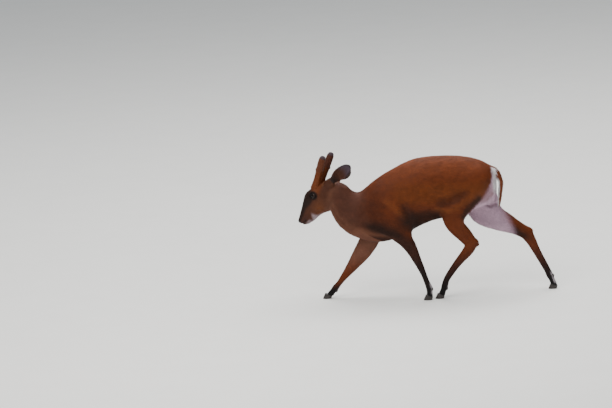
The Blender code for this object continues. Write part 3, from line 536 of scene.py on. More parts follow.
# Folds of the muscles, painted as light falls on them: painted shade in hollows and creases and a
# painted highlight along ridges. Each is a line of places as x and z, the tone along it, its half
# width and its share.
FLANK_SHADE_AND_HIGHLIGHTS = [
    ([(-0.270, 0.500), (-0.273, 0.426), (-0.268, 0.369)], PAINTED_SHADE_BROWN, 0.034, 0.40),
    ([(-0.161, 0.440), (-0.120, 0.403), (-0.079, 0.366)], PAINTED_RIDGE_HIGHLIGHT, 0.022, 0.70),
    ([(-0.086, 0.408), (-0.070, 0.385), (-0.052, 0.345)], PAINTED_SHADE_BROWN, 0.038, 0.60),
]
NEAR_THIGH_SHADE_AND_HIGHLIGHTS = [
    ([(0.072, 0.424), (0.110, 0.428), (0.150, 0.443), (0.180, 0.455)], PAINTED_HOLLOW_SHADE, 0.036, 0.75),
    ([(0.168, 0.360), (0.181, 0.387), (0.208, 0.412), (0.235, 0.433)], PAINTED_SHADE_BROWN, 0.026, 0.85),
    ([(0.052, 0.395), (0.095, 0.388), (0.139, 0.404)], PAINTED_RIDGE_HIGHLIGHT, 0.018, 0.85),
    ([(0.139, 0.404), (0.175, 0.429), (0.207, 0.454)], PAINTED_RIDGE_HIGHLIGHT, 0.018, 0.85),
]
FAR_THIGH_SHADE_AND_HIGHLIGHTS = [
    ([(0.080, 0.425), (0.150, 0.430), (0.215, 0.460)], PAINTED_HOLLOW_SHADE, 0.040, 0.50),
    ([(0.080, 0.388), (0.150, 0.396), (0.215, 0.430)], PAINTED_RIDGE_HIGHLIGHT, 0.018, 0.70),
]
# The pale band over the breast: its height at one place along the body, and how it rises.
BAND_PLACE, BAND_HEIGHT, BAND_RISE, BAND_HALF = -0.198, 0.286, -0.33, 0.014


def spot(first, second, oval):
    """1 at the middle of a soft oval, and less past its half sizes."""
    (middle_1, middle_2), (half_1, half_2) = oval
    return np.exp(-(((first - middle_1) / half_1) ** 2 + ((second - middle_2) / half_2) ** 2))


def line_gap(points, line):
    """Distance from a line of places given as x and z, seen from the side."""
    flat = points * np.array([1.0, 0.0, 1.0])
    return beside(flat, [(x, 0.0, z) for x, z in line])[0]


def trunk_marks(points, normals, where):
    """Back, flanks, shoulders, thighs, belly, neck, throat and breast."""
    x, y, z = points.T
    body = ramp(x, -0.30, -0.22)
    golden = ramp(z, 0.40, 0.45) * ramp(z, 0.54, 0.48) * ramp(x, -0.18, -0.08)
    marks = [
        # A lighter top to the back, partly its own tone and partly painted light from above.
        (SADDLE_AND_TOP_LIGHT, ramp(z, 0.500, 0.590)),
        (FLANK_GOLD, golden * 0.7),
        # Painted shade over the shoulder blade.
        (PAINTED_HOLLOW_SHADE, spot(x, z, SHOULDER_SHADE_SPOT) * 0.80),
    ]
    near, far = ramp(y, MIDLINE + 0.02, MIDLINE - 0.02), ramp(y, MIDLINE - 0.02, MIDLINE + 0.02)
    # Painted shade and painted highlights along the folds of each flank and thigh.
    for flank, folds in ((1.0, FLANK_SHADE_AND_HIGHLIGHTS), (near, NEAR_THIGH_SHADE_AND_HIGHLIGHTS), (far, FAR_THIGH_SHADE_AND_HIGHLIGHTS)):
        for line, tone, width, strength in folds:
            soft = ramp(line_gap(points, line), width, 0.15 * width)
            marks.append((tone, soft * strength * flank * body))
    # Painted shade behind the elbow and on the belly, then on all of the underside that faces
    # down.
    marks.append((PAINTED_SHADE_BROWN, spot(x, z, ELBOW_SHADE_SPOT) * 0.6))
    marks.append((PAINTED_SHADE_BROWN, spot(x, z, BELLY_SHADE_SPOT) * 0.8))
    low = ramp(z - 0.05 * ramp(x, 0.0, 0.12), 0.400, 0.320) * ramp(z, 0.20, 0.25)
    low *= 1.0 - ramp(x, 0.045, 0.085) * ramp(np.abs(y - MIDLINE), 0.045, 0.070)
    marks.append((PAINTED_SHADE_BROWN, low * ramp(normals[:, 2], 0.35, -0.20) * body * 0.95))
    marks.append((NECK_DUN, ramp(x, -0.215, -0.305) * ramp(z, 0.27, 0.33) * 0.95))
    facing_down = ramp(normals @ np.array([-0.6, 0.0, -0.8]), 0.1, 0.8)
    marks.append((THROAT_DUN, where["neck"] * facing_down))
    band_z = BAND_HEIGHT + BAND_RISE * (x - BAND_PLACE)
    # Painted shade in the crease above the pale band.
    above = np.exp(-(((z - band_z - 0.034) / BAND_HALF) ** 2)) * ramp(x, -0.060, -0.110)
    marks.append((PAINTED_SHADE_BROWN, above * ramp(x, -0.290, -0.240) * 0.75))
    band = np.exp(-(((z - band_z) / BAND_HALF) ** 2)) * ramp(x, -0.090, -0.140)
    band *= ramp(x, -0.340, -0.290)
    marks.append((CHEST_BAND, band * ramp(np.abs(y - MIDLINE), 0.018, 0.034)))
    return marks


# Legs: brown, darker downwards and in front, black at the foot, with pale backs to two of the
# pasterns and a paler inner side to each foreleg.
LEG_BROWN, LEG_DARK, FOOT_BLACK = linear("#3E1D11"), linear("#22120F"), linear("#130D0E")
INNER_LEG, PALE_HEEL = linear("#855542"), linear("#C9BEC4")
LEG_REACH = 0.03


def leg_sides(points, normals, where):
    """How far each point faces away from the other leg, and lies behind the leg's middle."""
    outward = np.where(where["limb"] % 2 == 0, -normals[:, 1], normals[:, 1])
    rear = np.cross(where["limb_way"], [0.0, 1.0, 0.0])
    rear *= np.where(rear[:, :1] > 0, 1.0, -1.0)
    return outward, np.sum((points - where["limb_foot"]) * rear, axis=1)


def leg_marks(points, normals, where):
    z = points[:, 2]
    out, behind = leg_sides(points, normals, where)
    limb, near_leg = where["limb"], where["limb_gap"] < LEG_REACH
    fore, hind = limb < 2, limb >= 2
    heel = ramp(z, 0.082, 0.066) * ramp(z, 0.022, 0.034) * ramp(behind, 0.0065, 0.0105)
    heel *= np.where((limb == 0) | (limb == 3), 0.85, 0.15)
    inner = ramp(out, 0.0, -0.7) * ramp(z, 0.330, 0.290) * ramp(z, 0.10, 0.20)
    return [
        (INNER_LEG, fore * inner),
        (LEG_BROWN, fore * ramp(z, 0.300, 0.260) * ramp(out, -0.5, 0.3) * 0.85),
        (LEG_DARK, fore * ramp(z, 0.260, 0.110) * ramp(out, -0.9, 0.4)),
        (LEG_BROWN, hind * ramp(z, 0.240, 0.130) * 0.75),
        (LEG_DARK, hind * ramp(z, 0.170, 0.070)),
        (FOOT_BLACK, ramp(z, 0.085, 0.035) * near_leg),
        (PALE_HEEL, heel * near_leg),
    ]


# Rump: white inside a curved edge on each buttock, down the inner thighs, over the groin and on
# the underside of the tail, whose back stays rufous to its root. Below the top of each buttock the
# white is given its lilac shaded tone, which is painted shade, and the fold under the buttock is
# darkened with painted shade.
# The first tone on the next line is white hair in its lilac shaded tone, painted shade; the last
# is painted shade for the fold under the buttock.
WHITE_IN_PAINTED_SHADE, RUMP_WHITE, SEAT_CREASE_SHADE = linear("#DEB9CF"), linear("#FAF4F6"), linear("#6B4F5C")
RUMP_EDGE = [(0.30, 0.600), (0.289, 0.564), (0.296, 0.527), (0.289, 0.496), (0.257, 0.454)]
RUMP_EDGE += [(0.212, 0.430), (0.175, 0.392), (0.165, 0.330)]
SEAT_FOLD = [(0.251, 0.393), (0.280, 0.374), (0.302, 0.382)]
TAIL_BACK = [(0.285, MIDLINE, 0.580), (0.316, MIDLINE, 0.556), (0.338, MIDLINE, 0.530)]
TAIL_BACK += [(0.346, MIDLINE, 0.500)]
TAIL_BACK_TONE = SADDLE_AND_TOP_LIGHT * 0.9


def rump_marks(points, normals, where):
    x, y, z = points.T
    out = leg_sides(points, normals, where)[0]
    limb, share, tail = where["limb"], where["limb_share"], where["tail"]
    hind, from_middle = limb >= 2, np.abs(y - MIDLINE)
    edge_z = np.array([place[1] for place in RUMP_EDGE])[::-1]
    edge_x = np.array([place[0] for place in RUMP_EDGE])[::-1]
    inside = ramp(x - np.interp(z, edge_z, edge_x), -0.004, 0.006)
    rearward = ramp(normals[:, 0], 0.3, 0.75) * ramp(from_middle, 0.075, 0.045)
    facing = np.maximum(ramp(out, 0.75, 0.35), rearward)
    seat = np.maximum(facing, ramp(from_middle, 0.040, 0.028) * ramp(x, 0.20, 0.26))
    seat *= inside * ramp(z, 0.564, 0.551) * hind
    slope = (x - 0.312) + 0.42 * (z - 0.372)
    low_thigh = ramp(slope, 0.038, -0.014) * ramp(out, -0.1, -0.5)
    low_thigh *= np.where(limb == 2, ramp(share, 0.48, 0.34), ramp(share, 0.56, 0.50))
    high = ramp(z, 0.350, 0.380)
    white = (seat * high + low_thigh * inside * (1.0 - high)) * hind
    groin = ramp(from_middle, 0.055, 0.030) * ramp(x, 0.10, 0.16) * ramp(z, 0.43, 0.40)
    under = np.maximum(ramp(normals[:, 2], 0.2, -0.3), ramp(normals[:, 0], 0.1, 0.4))
    crease = ramp(line_gap(points, SEAT_FOLD), 0.011, 0.003) * ramp(y, -0.06, -0.03)
    hem = ramp(x, 0.292, 0.306) * ramp(z, 0.440, 0.480)
    back = np.maximum(tail, ramp(beside(points, TAIL_BACK)[0], 0.020, 0.014))
    fringe = ramp(where["tail_behind"], -0.0025, -0.0060)
    fringe = np.maximum(fringe, ramp(normals[:, 0], -0.4, -0.8))
    return [
        # Lilac painted shade over the white below the top of each buttock, then painted shade in
        # the fold; the pure white is kept for the top of each buttock, its rear hem and the tail's
        # fringe.
        (WHITE_IN_PAINTED_SHADE, white * (1.0 - tail)),
        (WHITE_IN_PAINTED_SHADE, groin * under * ramp(z, 0.300, 0.345)),
        (SEAT_CREASE_SHADE, white * crease * 0.7),
        (RUMP_WHITE, seat * np.maximum(hem, ramp(z, 0.515, 0.540)) * (1.0 - tail)),
        (TAIL_BACK_TONE, back),
        (RUMP_WHITE, tail * fringe * ramp(where["tail_share"], 0.03, 0.12)),
    ]


# Face: dark down its front and round the eyes, warm on the cheeks, white under the jaw and
# behind the lips, with a black stripe up each brow ridge and black nose leather.
FACE_BROWN, CHEEK, FACE_DARK = linear("#552E1D"), linear("#774223"), linear("#1D0E0A")
FOREHEAD, STRIPE, CHIN = linear("#753A18"), linear("#22120F"), linear("#C4B0B6")
MUZZLE, NOSE_BLACK, EYE_RING = linear("#4A2B22"), linear("#100D0E"), linear("#150C09")
EAR_TUFT = linear("#8E5F40")
CHEEK_SPOT = ((0.078, -0.088), (0.040, 0.026))
# Places down the face, and how far up from it the lips and the edge of the dark front lie.
LIP_LEVELS = ([0.100, 0.150, 0.174, 0.180], [-0.062, -0.045, -0.031, -0.028])
DARK_LEVELS = ([-0.01, 0.02, 0.06, 0.105, 0.16], [-0.030, -0.056, -0.050, -0.028, -0.024])
EYE_RING_PLACE, EAR_TUFT_PLACE = (0.027, -0.050, 0.042), (-0.036, -0.072, 0.034)
GLAND = [(0.044, -0.043, 0.033), (0.070, -0.028, 0.027)]
BROW_RIDGE = [(0.088, -0.004, 0.008), (0.030, -0.012, 0.014), (-0.010, -0.032, 0.019)]
BROW_RIDGE += [(-0.044, -0.035, 0.0170), (-0.090, -0.038, 0.0240)]


def face_marks(points, where):
    down, up, side = where["down"], where["up"], np.abs(where["side"])
    face = where["head"] * (1.0 - where["ear"])
    jaw = ramp(up + 0.40 * (down - 0.13), -0.060, -0.073) * ramp(down, 0.104, 0.122)
    chin = ramp(np.interp(down, *LIP_LEVELS) - up, 0.004, 0.011)
    chin *= ramp(down, 0.136, 0.152) * ramp(down, 0.186, 0.170)
    under = ramp(side, 0.016, 0.006) * ramp(up, -0.060, -0.072) * ramp(down, 0.070, 0.110)
    dark = ramp(up - np.interp(down, *DARK_LEVELS), -0.008, 0.007) * ramp(down, -0.002, 0.022)
    eye_gap = np.minimum(*(gap_to(points, on_side([EYE_RING_PLACE], s)[0]) for s in (-1, 1)))
    marks = [
        (FACE_BROWN, face),
        (CHEEK, face * spot(down, up, CHEEK_SPOT)),
        (THROAT_DUN, face * ramp(up, -0.100, -0.125) * 0.6),
        (CHIN, face * np.maximum(jaw * ramp(down, 0.160, 0.134), chin * 0.8) * 0.7),
        (CHIN, face * under * 0.4),
        (FOREHEAD, face * ramp(down, 0.040, 0.005) * ramp(up, -0.085, -0.055)),
        (FACE_DARK, face * dark * 0.85),
        (MUZZLE, face * ramp(down, 0.115, 0.155) * ramp(up, -0.056, -0.040) * (1.0 - dark)),
        (EYE_RING, face * ramp(eye_gap, 0.0245, 0.0130) * 0.95),
    ]
    for sign in (-1, 1):
        for line, width, core, strength in (
            (GLAND, 0.0080, 0.0042, 1.0),
            (BROW_RIDGE, 0.0085, 0.0045, 0.9),
            (LIP_LINE, 0.0042, 0.0018, 0.9),
        ):
            gap = beside(points, on_side(line, sign))[0]
            marks.append((STRIPE, face * ramp(gap, width, core) * strength))
        tuft = gap_to(points, on_side([EAR_TUFT_PLACE], sign)[0])
        marks.append((EAR_TUFT, face * ramp(tuft, 0.018, 0.004) * 0.5))
        marks += ear_marks(points, where, sign)
    return marks


# Ears: dull brown behind, reddish in the cup with painted shade deep at its root, fading at the
# tip to the grey violet of pale hair in shade, which is painted shade, with a black rim.
# The last tone on the next line, grey violet, is pale hair in shade, painted shade; the second on
# the line after is painted shade deep in the cup.
EAR_BACK, EAR_EDGE, EAR_TIP_IN_SHADE = linear("#50362C"), linear("#221617"), linear("#54434E")
EAR_INNER, EAR_CUP_SHADE, EAR_HEM = linear("#4C2818"), linear("#180E0C"), linear("#8C5A52")
EAR_HALF_WIDTHS = ([0.0, 0.2, 0.45, 0.6, 0.85, 1.0], [0.016, 0.023, 0.028, 0.027, 0.020, 0.006])


def ear_marks(points, where, sign):
    root, along, across, cup = (np.array(axis) for axis in ear_axes(sign))
    mine = where["ear"] * (np.sign(where["side"]) == sign)
    rise = (points - root) @ along / EAR_LENGTH
    off = np.abs((points - root) @ across) / np.interp(rise, *EAR_HALF_WIDTHS)
    inner = mine * ramp(where["normals"] @ cup, 0.05, 0.45)
    return [
        (EAR_BACK, mine),
        (EAR_TIP_IN_SHADE, mine * ramp(rise, 0.55, 0.90) * 0.6),
        (EAR_INNER, inner),
        # Painted shade deep in the cup's root, then the tip's grey violet painted shade.
        (EAR_CUP_SHADE, inner * ramp(rise, 0.38, 0.14) * ramp(off, 0.95, 0.4) * 0.85),
        (EAR_TIP_IN_SHADE, inner * ramp(rise + 0.10 * off, 0.48, 0.86)),
        (EAR_HEM, mine * ramp(off, 0.80, 0.96) * ramp(rise, 0.62, 0.36) * 0.6),
        (EAR_EDGE, mine * ramp(off, 0.78, 1.0) * ramp(rise, 0.45, 0.75) * 0.8),
        (EAR_EDGE, mine * ramp(rise, 0.90, 0.99) * 0.8),
    ]


def markings(points, normals):
    """The coat's colour at each point of the hide, and how bare it is there."""
    where = regions(points)
    where["normals"] = normals
    marks = trunk_marks(points, normals, where) + leg_marks(points, normals, where)
    marks += rump_marks(points, normals, where) + face_marks(points, where)
    nose = ramp(where["down"] + where["up"] * 0.35, 0.1585, 0.1625)
    nose *= ramp(where["up"], -0.0300, -0.0270) * where["head"] * (1.0 - where["ear"])
    colour = np.tile(RUFOUS, (len(points), 1))
    for tone, share in [*marks, (NOSE_BLACK, nose)]:
        colour = colour + (tone - colour) * np.clip(share, 0.0, 1.0)[:, None]
    return colour * HAIR_SHADE, nose


def write_colour(data, colour, name="coat_colour"):
    layer = data.attributes.new(name, "FLOAT_COLOR", "POINT")
    flat = np.ones((len(data.vertices), 4), np.float32)
    flat[:, :3] = colour
    layer.data.foreach_set("color", flat.ravel())


def write_share(data, share, name):
    layer = data.attributes.new(name, "FLOAT", "POINT")
    layer.data.foreach_set("value", np.asarray(share, np.float32))


points, normals = points_of(hide.data), normals_of(hide.data)
hide_colour, bare = markings(points, normals)
write_colour(hide.data, hide_colour)
write_share(hide.data, bare, "bare")
write_share(hide.data, ramp(points[:, 2], 0.33, 0.26), "upright")


# Short deer hair over skin. It is too fine to see hair by hair, so streaks 1.5 mm wide that run
# with the lie break up the light, and the bare nose leather is pebbled, moist and shinier.
def set_inputs(node, inputs):
    """Sets inputs, by name or number, to values, or links them from sockets."""
    for key, value in dict(inputs).items():
        if isinstance(value, bpy.types.NodeSocket):
            node.id_data.links.new(value, node.inputs[key])
        else:
            node.inputs[key].default_value = value


def add_node(tree, kind, settings=(), inputs=()):
    """A node with its settings and links."""
    made = tree.nodes.new("ShaderNode" + kind)
    for key, value in dict(settings).items():
        setattr(made, key, value)
    set_inputs(made, inputs)
    return made


def new_material(name):
    """A material, its node tree, its shader and the place of each point in metres."""
    made = bpy.data.materials.new(name)
    made.use_nodes = True
    place = add_node(made.node_tree, "TexCoord")
    shader = made.node_tree.nodes["Principled BSDF"]
    return made, made.node_tree, shader, place.outputs["Object"]


# Streaks a metre, along the hair and across it, and pebbles a metre on the nose.
STREAKS_ALONG, STREAKS_ACROSS, PEBBLES = 90.0, 650.0, 800.0
deer_hide, tree, shader, place = new_material("short deer hair on hide")
colour = add_node(tree, "Attribute", {"attribute_name": "coat_colour"})
bare_share = add_node(tree, "Attribute", {"attribute_name": "bare"})
upright = add_node(tree, "Attribute", {"attribute_name": "upright"})
streaks = []
for scale in (
    (STREAKS_ALONG, STREAKS_ACROSS, STREAKS_ACROSS),
    (STREAKS_ACROSS, STREAKS_ACROSS, STREAKS_ALONG),
):
    stretched = add_node(tree, "Mapping", (), {"Vector": place, "Scale": scale})
    streak = {"Vector": stretched.outputs[0], "Scale": 1.0, "Detail": 3.0, "Roughness": 0.6}
    streaks.append(add_node(tree, "TexNoise", (), streak).outputs["Fac"])
lie = add_node(
    tree, "Mix", {"data_type": "FLOAT"},
    {0: upright.outputs["Fac"], 2: streaks[0], 3: streaks[1]},
)
shade = add_node(
    tree, "MapRange", (),
    {"Value": lie.outputs[0], "From Min": 0.3, "From Max": 0.7, "To Min": 0.62, "To Max": 1.0},
)
streaked = add_node(
    tree, "VectorMath", {"operation": "SCALE"},
    {0: colour.outputs["Color"], "Scale": shade.outputs[0]},
)
pebbles = add_node(
    tree, "TexVoronoi", {"feature": "DISTANCE_TO_EDGE"},
    {"Vector": place, "Scale": PEBBLES},
)
relief = add_node(
    tree, "Mix", {"data_type": "FLOAT"},
    {0: bare_share.outputs["Fac"], 2: lie.outputs[0], 3: pebbles.outputs["Distance"]},
)
bump = add_node(
    tree, "Bump", (),
    {"Height": relief.outputs[0], "Strength": 0.6, "Distance": 0.0006},
)
gloss = add_node(
    tree, "MapRange", (),
    {"Value": bare_share.outputs["Fac"], "To Min": 0.72, "To Max": 0.30},
)
set_inputs(shader, {
    "Base Color": streaked.outputs[0],
    "Roughness": gloss.outputs[0],
    "Normal": bump.outputs[0],
    "Specular IOR Level": 0.22,
})
hide.data.materials.append(deer_hide)
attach(hide, "root")
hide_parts(*HIDE_NODES)

# Coat. Short, glossy summer hair that lies close: back along the body, down the legs and up
# the face. It is cut in tufts, each a flat three-sided blade of a few dozen hairs with its
# root under the hide, and they overlap like tiles, so that only their tips break the outline.
COAT_SEED = 20417
# Ways that the hair lies: at a place, the way there, and how far it reaches. Both sides share
# them.
LIE_GUIDES = [
    ((-0.100, MIDLINE, 0.580), (1.0, 0.0, 0.05), 0.10),
    ((0.100, MIDLINE, 0.600), (1.0, 0.0, -0.05), 0.10),
    ((0.250, MIDLINE, 0.560), (1.0, 0.0, -0.60), 0.05),
    ((-0.080, -0.120, 0.450), (1.0, 0.0, -0.25), 0.08),
    ((0.060, -0.130, 0.470), (1.0, 0.0, -0.25), 0.08),
    ((0.200, -0.120, 0.480), (0.7, 0.0, -0.80), 0.06),
    ((0.285, -0.080, 0.500), (0.2, 0.0, -1.00), 0.04),
    ((0.270, -0.050, 0.440), (0.0, 0.0, -1.00), 0.04),
    ((-0.060, MIDLINE, 0.240), (1.0, 0.0, 0.25), 0.08),
    ((0.080, MIDLINE, 0.340), (1.0, 0.0, 0.20), 0.08),
    ((-0.190, MIDLINE, 0.530), (1.0, 0.0, 0.30), 0.05),
    ((-0.230, -0.110, 0.460), (0.6, 0.0, -0.70), 0.06),
    ((-0.290, -0.060, 0.440), (0.9, 0.0, -0.35), 0.06),
    ((-0.340, -0.050, 0.470), (0.9, -0.2, -0.10), 0.05),
    ((-0.360, -0.020, 0.360), (0.6, 0.0, -0.80), 0.05),
    ((-0.280, MIDLINE, 0.255), (0.9, 0.0, -0.40), 0.06),
    ((-0.240, -0.110, 0.330), (0.5, 0.0, -0.85), 0.06),
]
# Lengths of hair in metres.
HAIR = {"trunk": 0.0125, "neck": 0.0105, "leg": 0.0082, "foot": 0.0048, "head": 0.0052}
HAIR |= {"muzzle": 0.0026, "ear": 0.0042, "rump": 0.0200, "tail": 0.0170}


def unit(rows):
    """The same ways with a length of 1."""
    return rows / np.maximum(np.linalg.norm(rows, axis=1), 1e-6)[:, None]


def laid_flat(ways, normals):
    """Ways turned to run along the skin, with a length of 1."""
    return unit(ways - normals * np.sum(ways * normals, axis=1)[:, None])


def lie_of_coat(points, normals, where):
    """The way the hair lies at each point, along the hide."""
    way = np.zeros_like(points)
    for place, aim, reach in LIE_GUIDES:
        for y in {place[1], 2 * MIDLINE - place[1]}:
            gap = gap_to(points, (place[0], y, place[2]))
            aim_here = np.array((aim[0], aim[1] if y == place[1] else -aim[1], aim[2]))
            aim_here /= np.linalg.norm(aim_here)
            way += aim_here * (np.exp(-((gap / reach) ** 1.3)) + 1e-6)[:, None]
    way = unit(way)
    on_limb = ramp(points[:, 2], 0.400, 0.270) * ramp(where["limb_gap"], 0.085, 0.050)
    way += (where["limb_way"] - way) * on_limb[:, None]
    way += (where["tail_way"] - way) * where["tail"][:, None]
    face = np.tile(-np.array(DOWN_FACE), (len(points), 1))
    back = ramp(where["up"], -0.045, -0.100)[:, None]
    face = face * (1.0 - 0.55 * back) - np.array(UP_CROWN) * back * 0.8
    way += (face - way) * where["head"][:, None]
    for sign in (-1, 1):
        mine = where["ear"] * (np.sign(where["side"]) == sign)
        near_stub = ramp(gap_to(points, on_head(-0.040, -0.094, sign * 0.026)), 0.045, 0.026)
        mine = np.maximum(mine, near_stub * where["head"])
        way += (np.array(ear_axes(sign)[1]) - way) * mine[:, None]
    return laid_flat(way, normals)


def hair_length(points, where, whiteness):
    """How long the hair is at each point: short on the face, feet and ears, long behind."""
    length = np.full(len(points), HAIR["trunk"])

    def towards(key, share):
        nonlocal length
        length = length + (HAIR[key] - length) * np.clip(share, 0.0, 1.0)

    z = points[:, 2]
    towards("neck", where["neck"])
    towards("leg", ramp(z, 0.360, 0.260))
    near_crease = (points[:, 0] > 0.22) * ramp(np.abs(z - 0.378), 0.022, 0.010)
    towards("leg", near_crease * ramp(np.abs(points[:, 1] - MIDLINE), 0.060, 0.040))
    towards("foot", ramp(z, 0.200, 0.080))
    towards("rump", whiteness * ramp(z, 0.40, 0.46) * (points[:, 0] > 0.15))
    towards("tail", where["tail"])
    towards("head", where["head"])
    towards("muzzle", where["head"] * ramp(where["down"], 0.085, 0.140))
    eyes = np.abs(np.abs(where["side"]) - 0.040) + np.abs(where["down"] - 0.027)
    eyes += np.abs(where["up"] + 0.050)
    towards("muzzle", where["head"] * ramp(eyes, 0.040, 0.022))
    towards("ear", where["ear"])
    return length


def tuft_pattern():
    """A three-sided blade of unit length: the places of its corners, and its faces."""
    bm = bmesh.new()
    bmesh.ops.create_cone(
        bm, cap_ends=True, segments=3, radius1=0.5, radius2=0.0, depth=1.0,
        matrix=Matrix.Translation((0, 0, 0.5)) @ Matrix.Rotation(-math.pi / 2, 4, "Z"),
    )
    bmesh.ops.triangulate(bm, faces=bm.faces)
    bmesh.ops.recalc_face_normals(bm, faces=bm.faces)
    bm.verts.ensure_lookup_table()
    bm.verts.index_update()
    corners = np.array([vert.co[:] for vert in bm.verts])
    faces = np.array([[vert.index for vert in face.verts] for face in bm.faces])
    bm.free()
    return corners, faces


def hide_chart(points, where):
    """Each point's place on a flat map of the hide.

    The map has 4 by 3 tiles, one for each part, laid out round the part and along it.
    """
    x, y, z = points.T
    tile, turn, along = np.zeros(len(points)), np.arctan2(y - MIDLINE, z - 0.45), (x + 0.32) / 0.68
    neck = where["neck"] > 0.5
    limb = (z < 0.30) & (where["limb_gap"] < 0.06) & ~neck
    spoke = points - where["limb_foot"]
    nod = np.arctan2(where["side"], where["up"] + 0.060)
    tiles = [
        (neck, 1, np.arctan2(y - MIDLINE, z - 0.40), (x + 0.44) / 0.26),
        (limb, 2 + where["limb"], np.arctan2(spoke[:, 0], spoke[:, 1]), where["limb_share"]),
        (where["head"] > 0.5, 6, nod, (where["down"] + 0.13) / 0.33),
    ]
    for number, sign in ((7, -1), (9, 1)):
        ear = (where["ear"] > 0.5) & (np.sign(where["side"]) == sign)
        root, way, across = (np.array(axis) for axis in ear_axes(sign)[:3])
        rel = points - root
        tiles.append((ear, number, rel @ across / 0.032 * 3.0, rel @ way / 0.125))
    wag = np.arctan2(y - MIDLINE, x - 0.327)
    tiles.append((where["tail"] > 0.5, 11, wag, where["tail_share"]))
    for mine, number, round_it, up_it in tiles:
        tile = np.where(mine, number, tile)
        turn = np.where(mine, round_it, turn)
        along = np.where(mine, up_it, along)
    u = (tile % 4 + 0.02 + 0.96 * np.clip(turn / (2 * math.pi) + 0.5, 0, 1)) / 4
    v = (tile // 4 + 0.02 + 0.96 * np.clip(along, 0, 1)) / 3
    return np.stack((u, v), axis=1)


# Thickness of a tuft for its width, how deep its root sits, its shades at root and towards the
# tip, how much tufts differ in shade, its patch on the map, and how its light is rounded.
TUFT_THICKNESS, ROOT_DEPTH = 0.42, 0.0007
ROOT_SHADE, TIP_SHADE, TUFT_SPREAD = 0.74, 0.36, 0.16
CHART_PATCH, ROUNDNESS, TIP_LEAN = 0.003, 0.9, 0.25


def grow(name, pattern, roots, normals, lie, length, width, rise, colour, chart, random):
    """One piece of coat: a tuft at every root, darker at its root than at its tip."""
    corners, faces = pattern
    count, size = len(roots), len(corners)
    across = np.cross(lie, normals)
    far = corners[:, 2]
    lift = rise[:, None] * far[None, :] - ROOT_DEPTH * (1.0 - far[None, :]) ** 4
    points = roots[:, None, :] + lie[:, None, :] * (length[:, None] * far[None, :])[:, :, None]
    points += across[:, None, :] * (width[:, None] * corners[None, :, 1])[:, :, None]
    thick = width[:, None] * corners[None, :, 0] * TUFT_THICKNESS
    points += normals[:, None, :] * (lift + thick)[:, :, None]
    data = bpy.data.meshes.new(name)
    data.vertices.add(count * size)
    data.vertices.foreach_set("co", points.astype(np.float32).ravel())
    index = (faces[None, :, :] + (np.arange(count) * size)[:, None, None]).reshape(-1, 3)
    data.loops.add(len(index) * 3)
    data.loops.foreach_set("vertex_index", index.astype(np.int32).ravel())
    data.polygons.add(len(index))
    data.polygons.foreach_set("loop_start", np.arange(len(index), dtype=np.int32) * 3)
    data.update(calc_edges=True)
    data.polygons.foreach_set("use_smooth", np.ones(len(index), bool))
    shade = ROOT_SHADE + TIP_SHADE * far[None, :] ** 0.7
    shade = shade * (1.0 + TUFT_SPREAD * random.standard_normal(count)).clip(0.6, 1.5)[:, None]
    write_colour(data, (colour[:, None, :] * shade[:, :, None]).reshape(-1, 3))
    patch = np.stack((corners[:, 1], (far - 0.5)), axis=1) * CHART_PATCH
    uv = (chart[:, None, :] + patch[None, :, :]).reshape(-1, 2)[index.ravel()]
    layer = data.uv_layers.new(name="OFBake")
    layer.uv.foreach_set("vector", uv.astype(np.float32).ravel())
    # The light falls on a tuft as on the skin under it, a little rounded from side to side.
    lean = normals[:, None, :] + across[:, None, :] * (corners[None, :, 1] * ROUNDNESS)[:, :, None]
    lean += lie[:, None, :] * (TIP_LEAN * far)[None, :, None]
    lean /= np.linalg.norm(lean, axis=2)[:, :, None]
    data.normals_split_custom_set_from_vertices(lean.reshape(-1, 3))
    return placed(name, data)


def triangles_of(data):
    """The three points of every triangle, as numbers and as places, and its area."""
    data.calc_loop_triangles()
    numbers = np.empty(len(data.loop_triangles) * 3, np.int32)
    data.loop_triangles.foreach_get("vertices", numbers)
    numbers = numbers.reshape(-1, 3)
    places = points_of(data)[numbers]
    cross = np.cross(places[:, 1] - places[:, 0], places[:, 2] - places[:, 0])
    return numbers, places, np.linalg.norm(cross, axis=1) / 2


def hair_width(length):
    return LEAST_WIDTH + WIDTH_GROWTH * length


# Roots are scattered over the hide, closer where the hair is shorter, so that the tufts cover
# each place TUFT_COVER times. None grows on the hooves, the bare nose, the globe of the eye or
# the pedicle's end under the antler.
TUFT_COVER, LEAST_WIDTH, WIDTH_GROWTH = 3.3, 0.00034, 0.098
random = np.random.default_rng(COAT_SEED)
numbers, triangles, areas = triangles_of(hide.data)
corner_normals = normals_of(hide.data)[numbers]
middles, middle_normals = triangles.mean(axis=1), corner_normals.mean(axis=1)
where = regions(middles)
middle_colour, bare = markings(middles, middle_normals)
whiteness = ramp(middle_colour[:, 2], 0.25, 0.5)
middle_length = hair_length(middles, where, whiteness)
per_area = TUFT_COVER / (middle_length * hair_width(middle_length))
above_hooves = ramp(middles[:, 2], 0.0120, 0.0150)
inside_lids = np.zeros(len(middles), bool)
for side in (-1, 1):
    place, rel, outward = slit_place(middles, side)
    inside_lids |= (place < 1.15) & (outward > 0.0) & (np.linalg.norm(rel, axis=1) < 0.02)
pedicle_ends = (where["down"] < -0.080) & (where["head"] > 0.5) & (np.abs(where["side"]) < 0.052)
pedicle_ends &= (middle_normals @ -np.array(DOWN_FACE) > 0.45) & (where["up"] > -0.075)
wanted = areas * per_area * (1.0 - bare) * above_hooves * ~inside_lids * ~pedicle_ends
total = int(wanted.sum())
chosen = np.searchsorted(np.cumsum(wanted), random.random(total) * wanted.sum())
chosen = np.sort(np.minimum(chosen, len(wanted) - 1))
mix = random.random((total, 2))
mix = np.where(mix.sum(axis=1, keepdims=True) > 1.0, 1.0 - mix, mix)
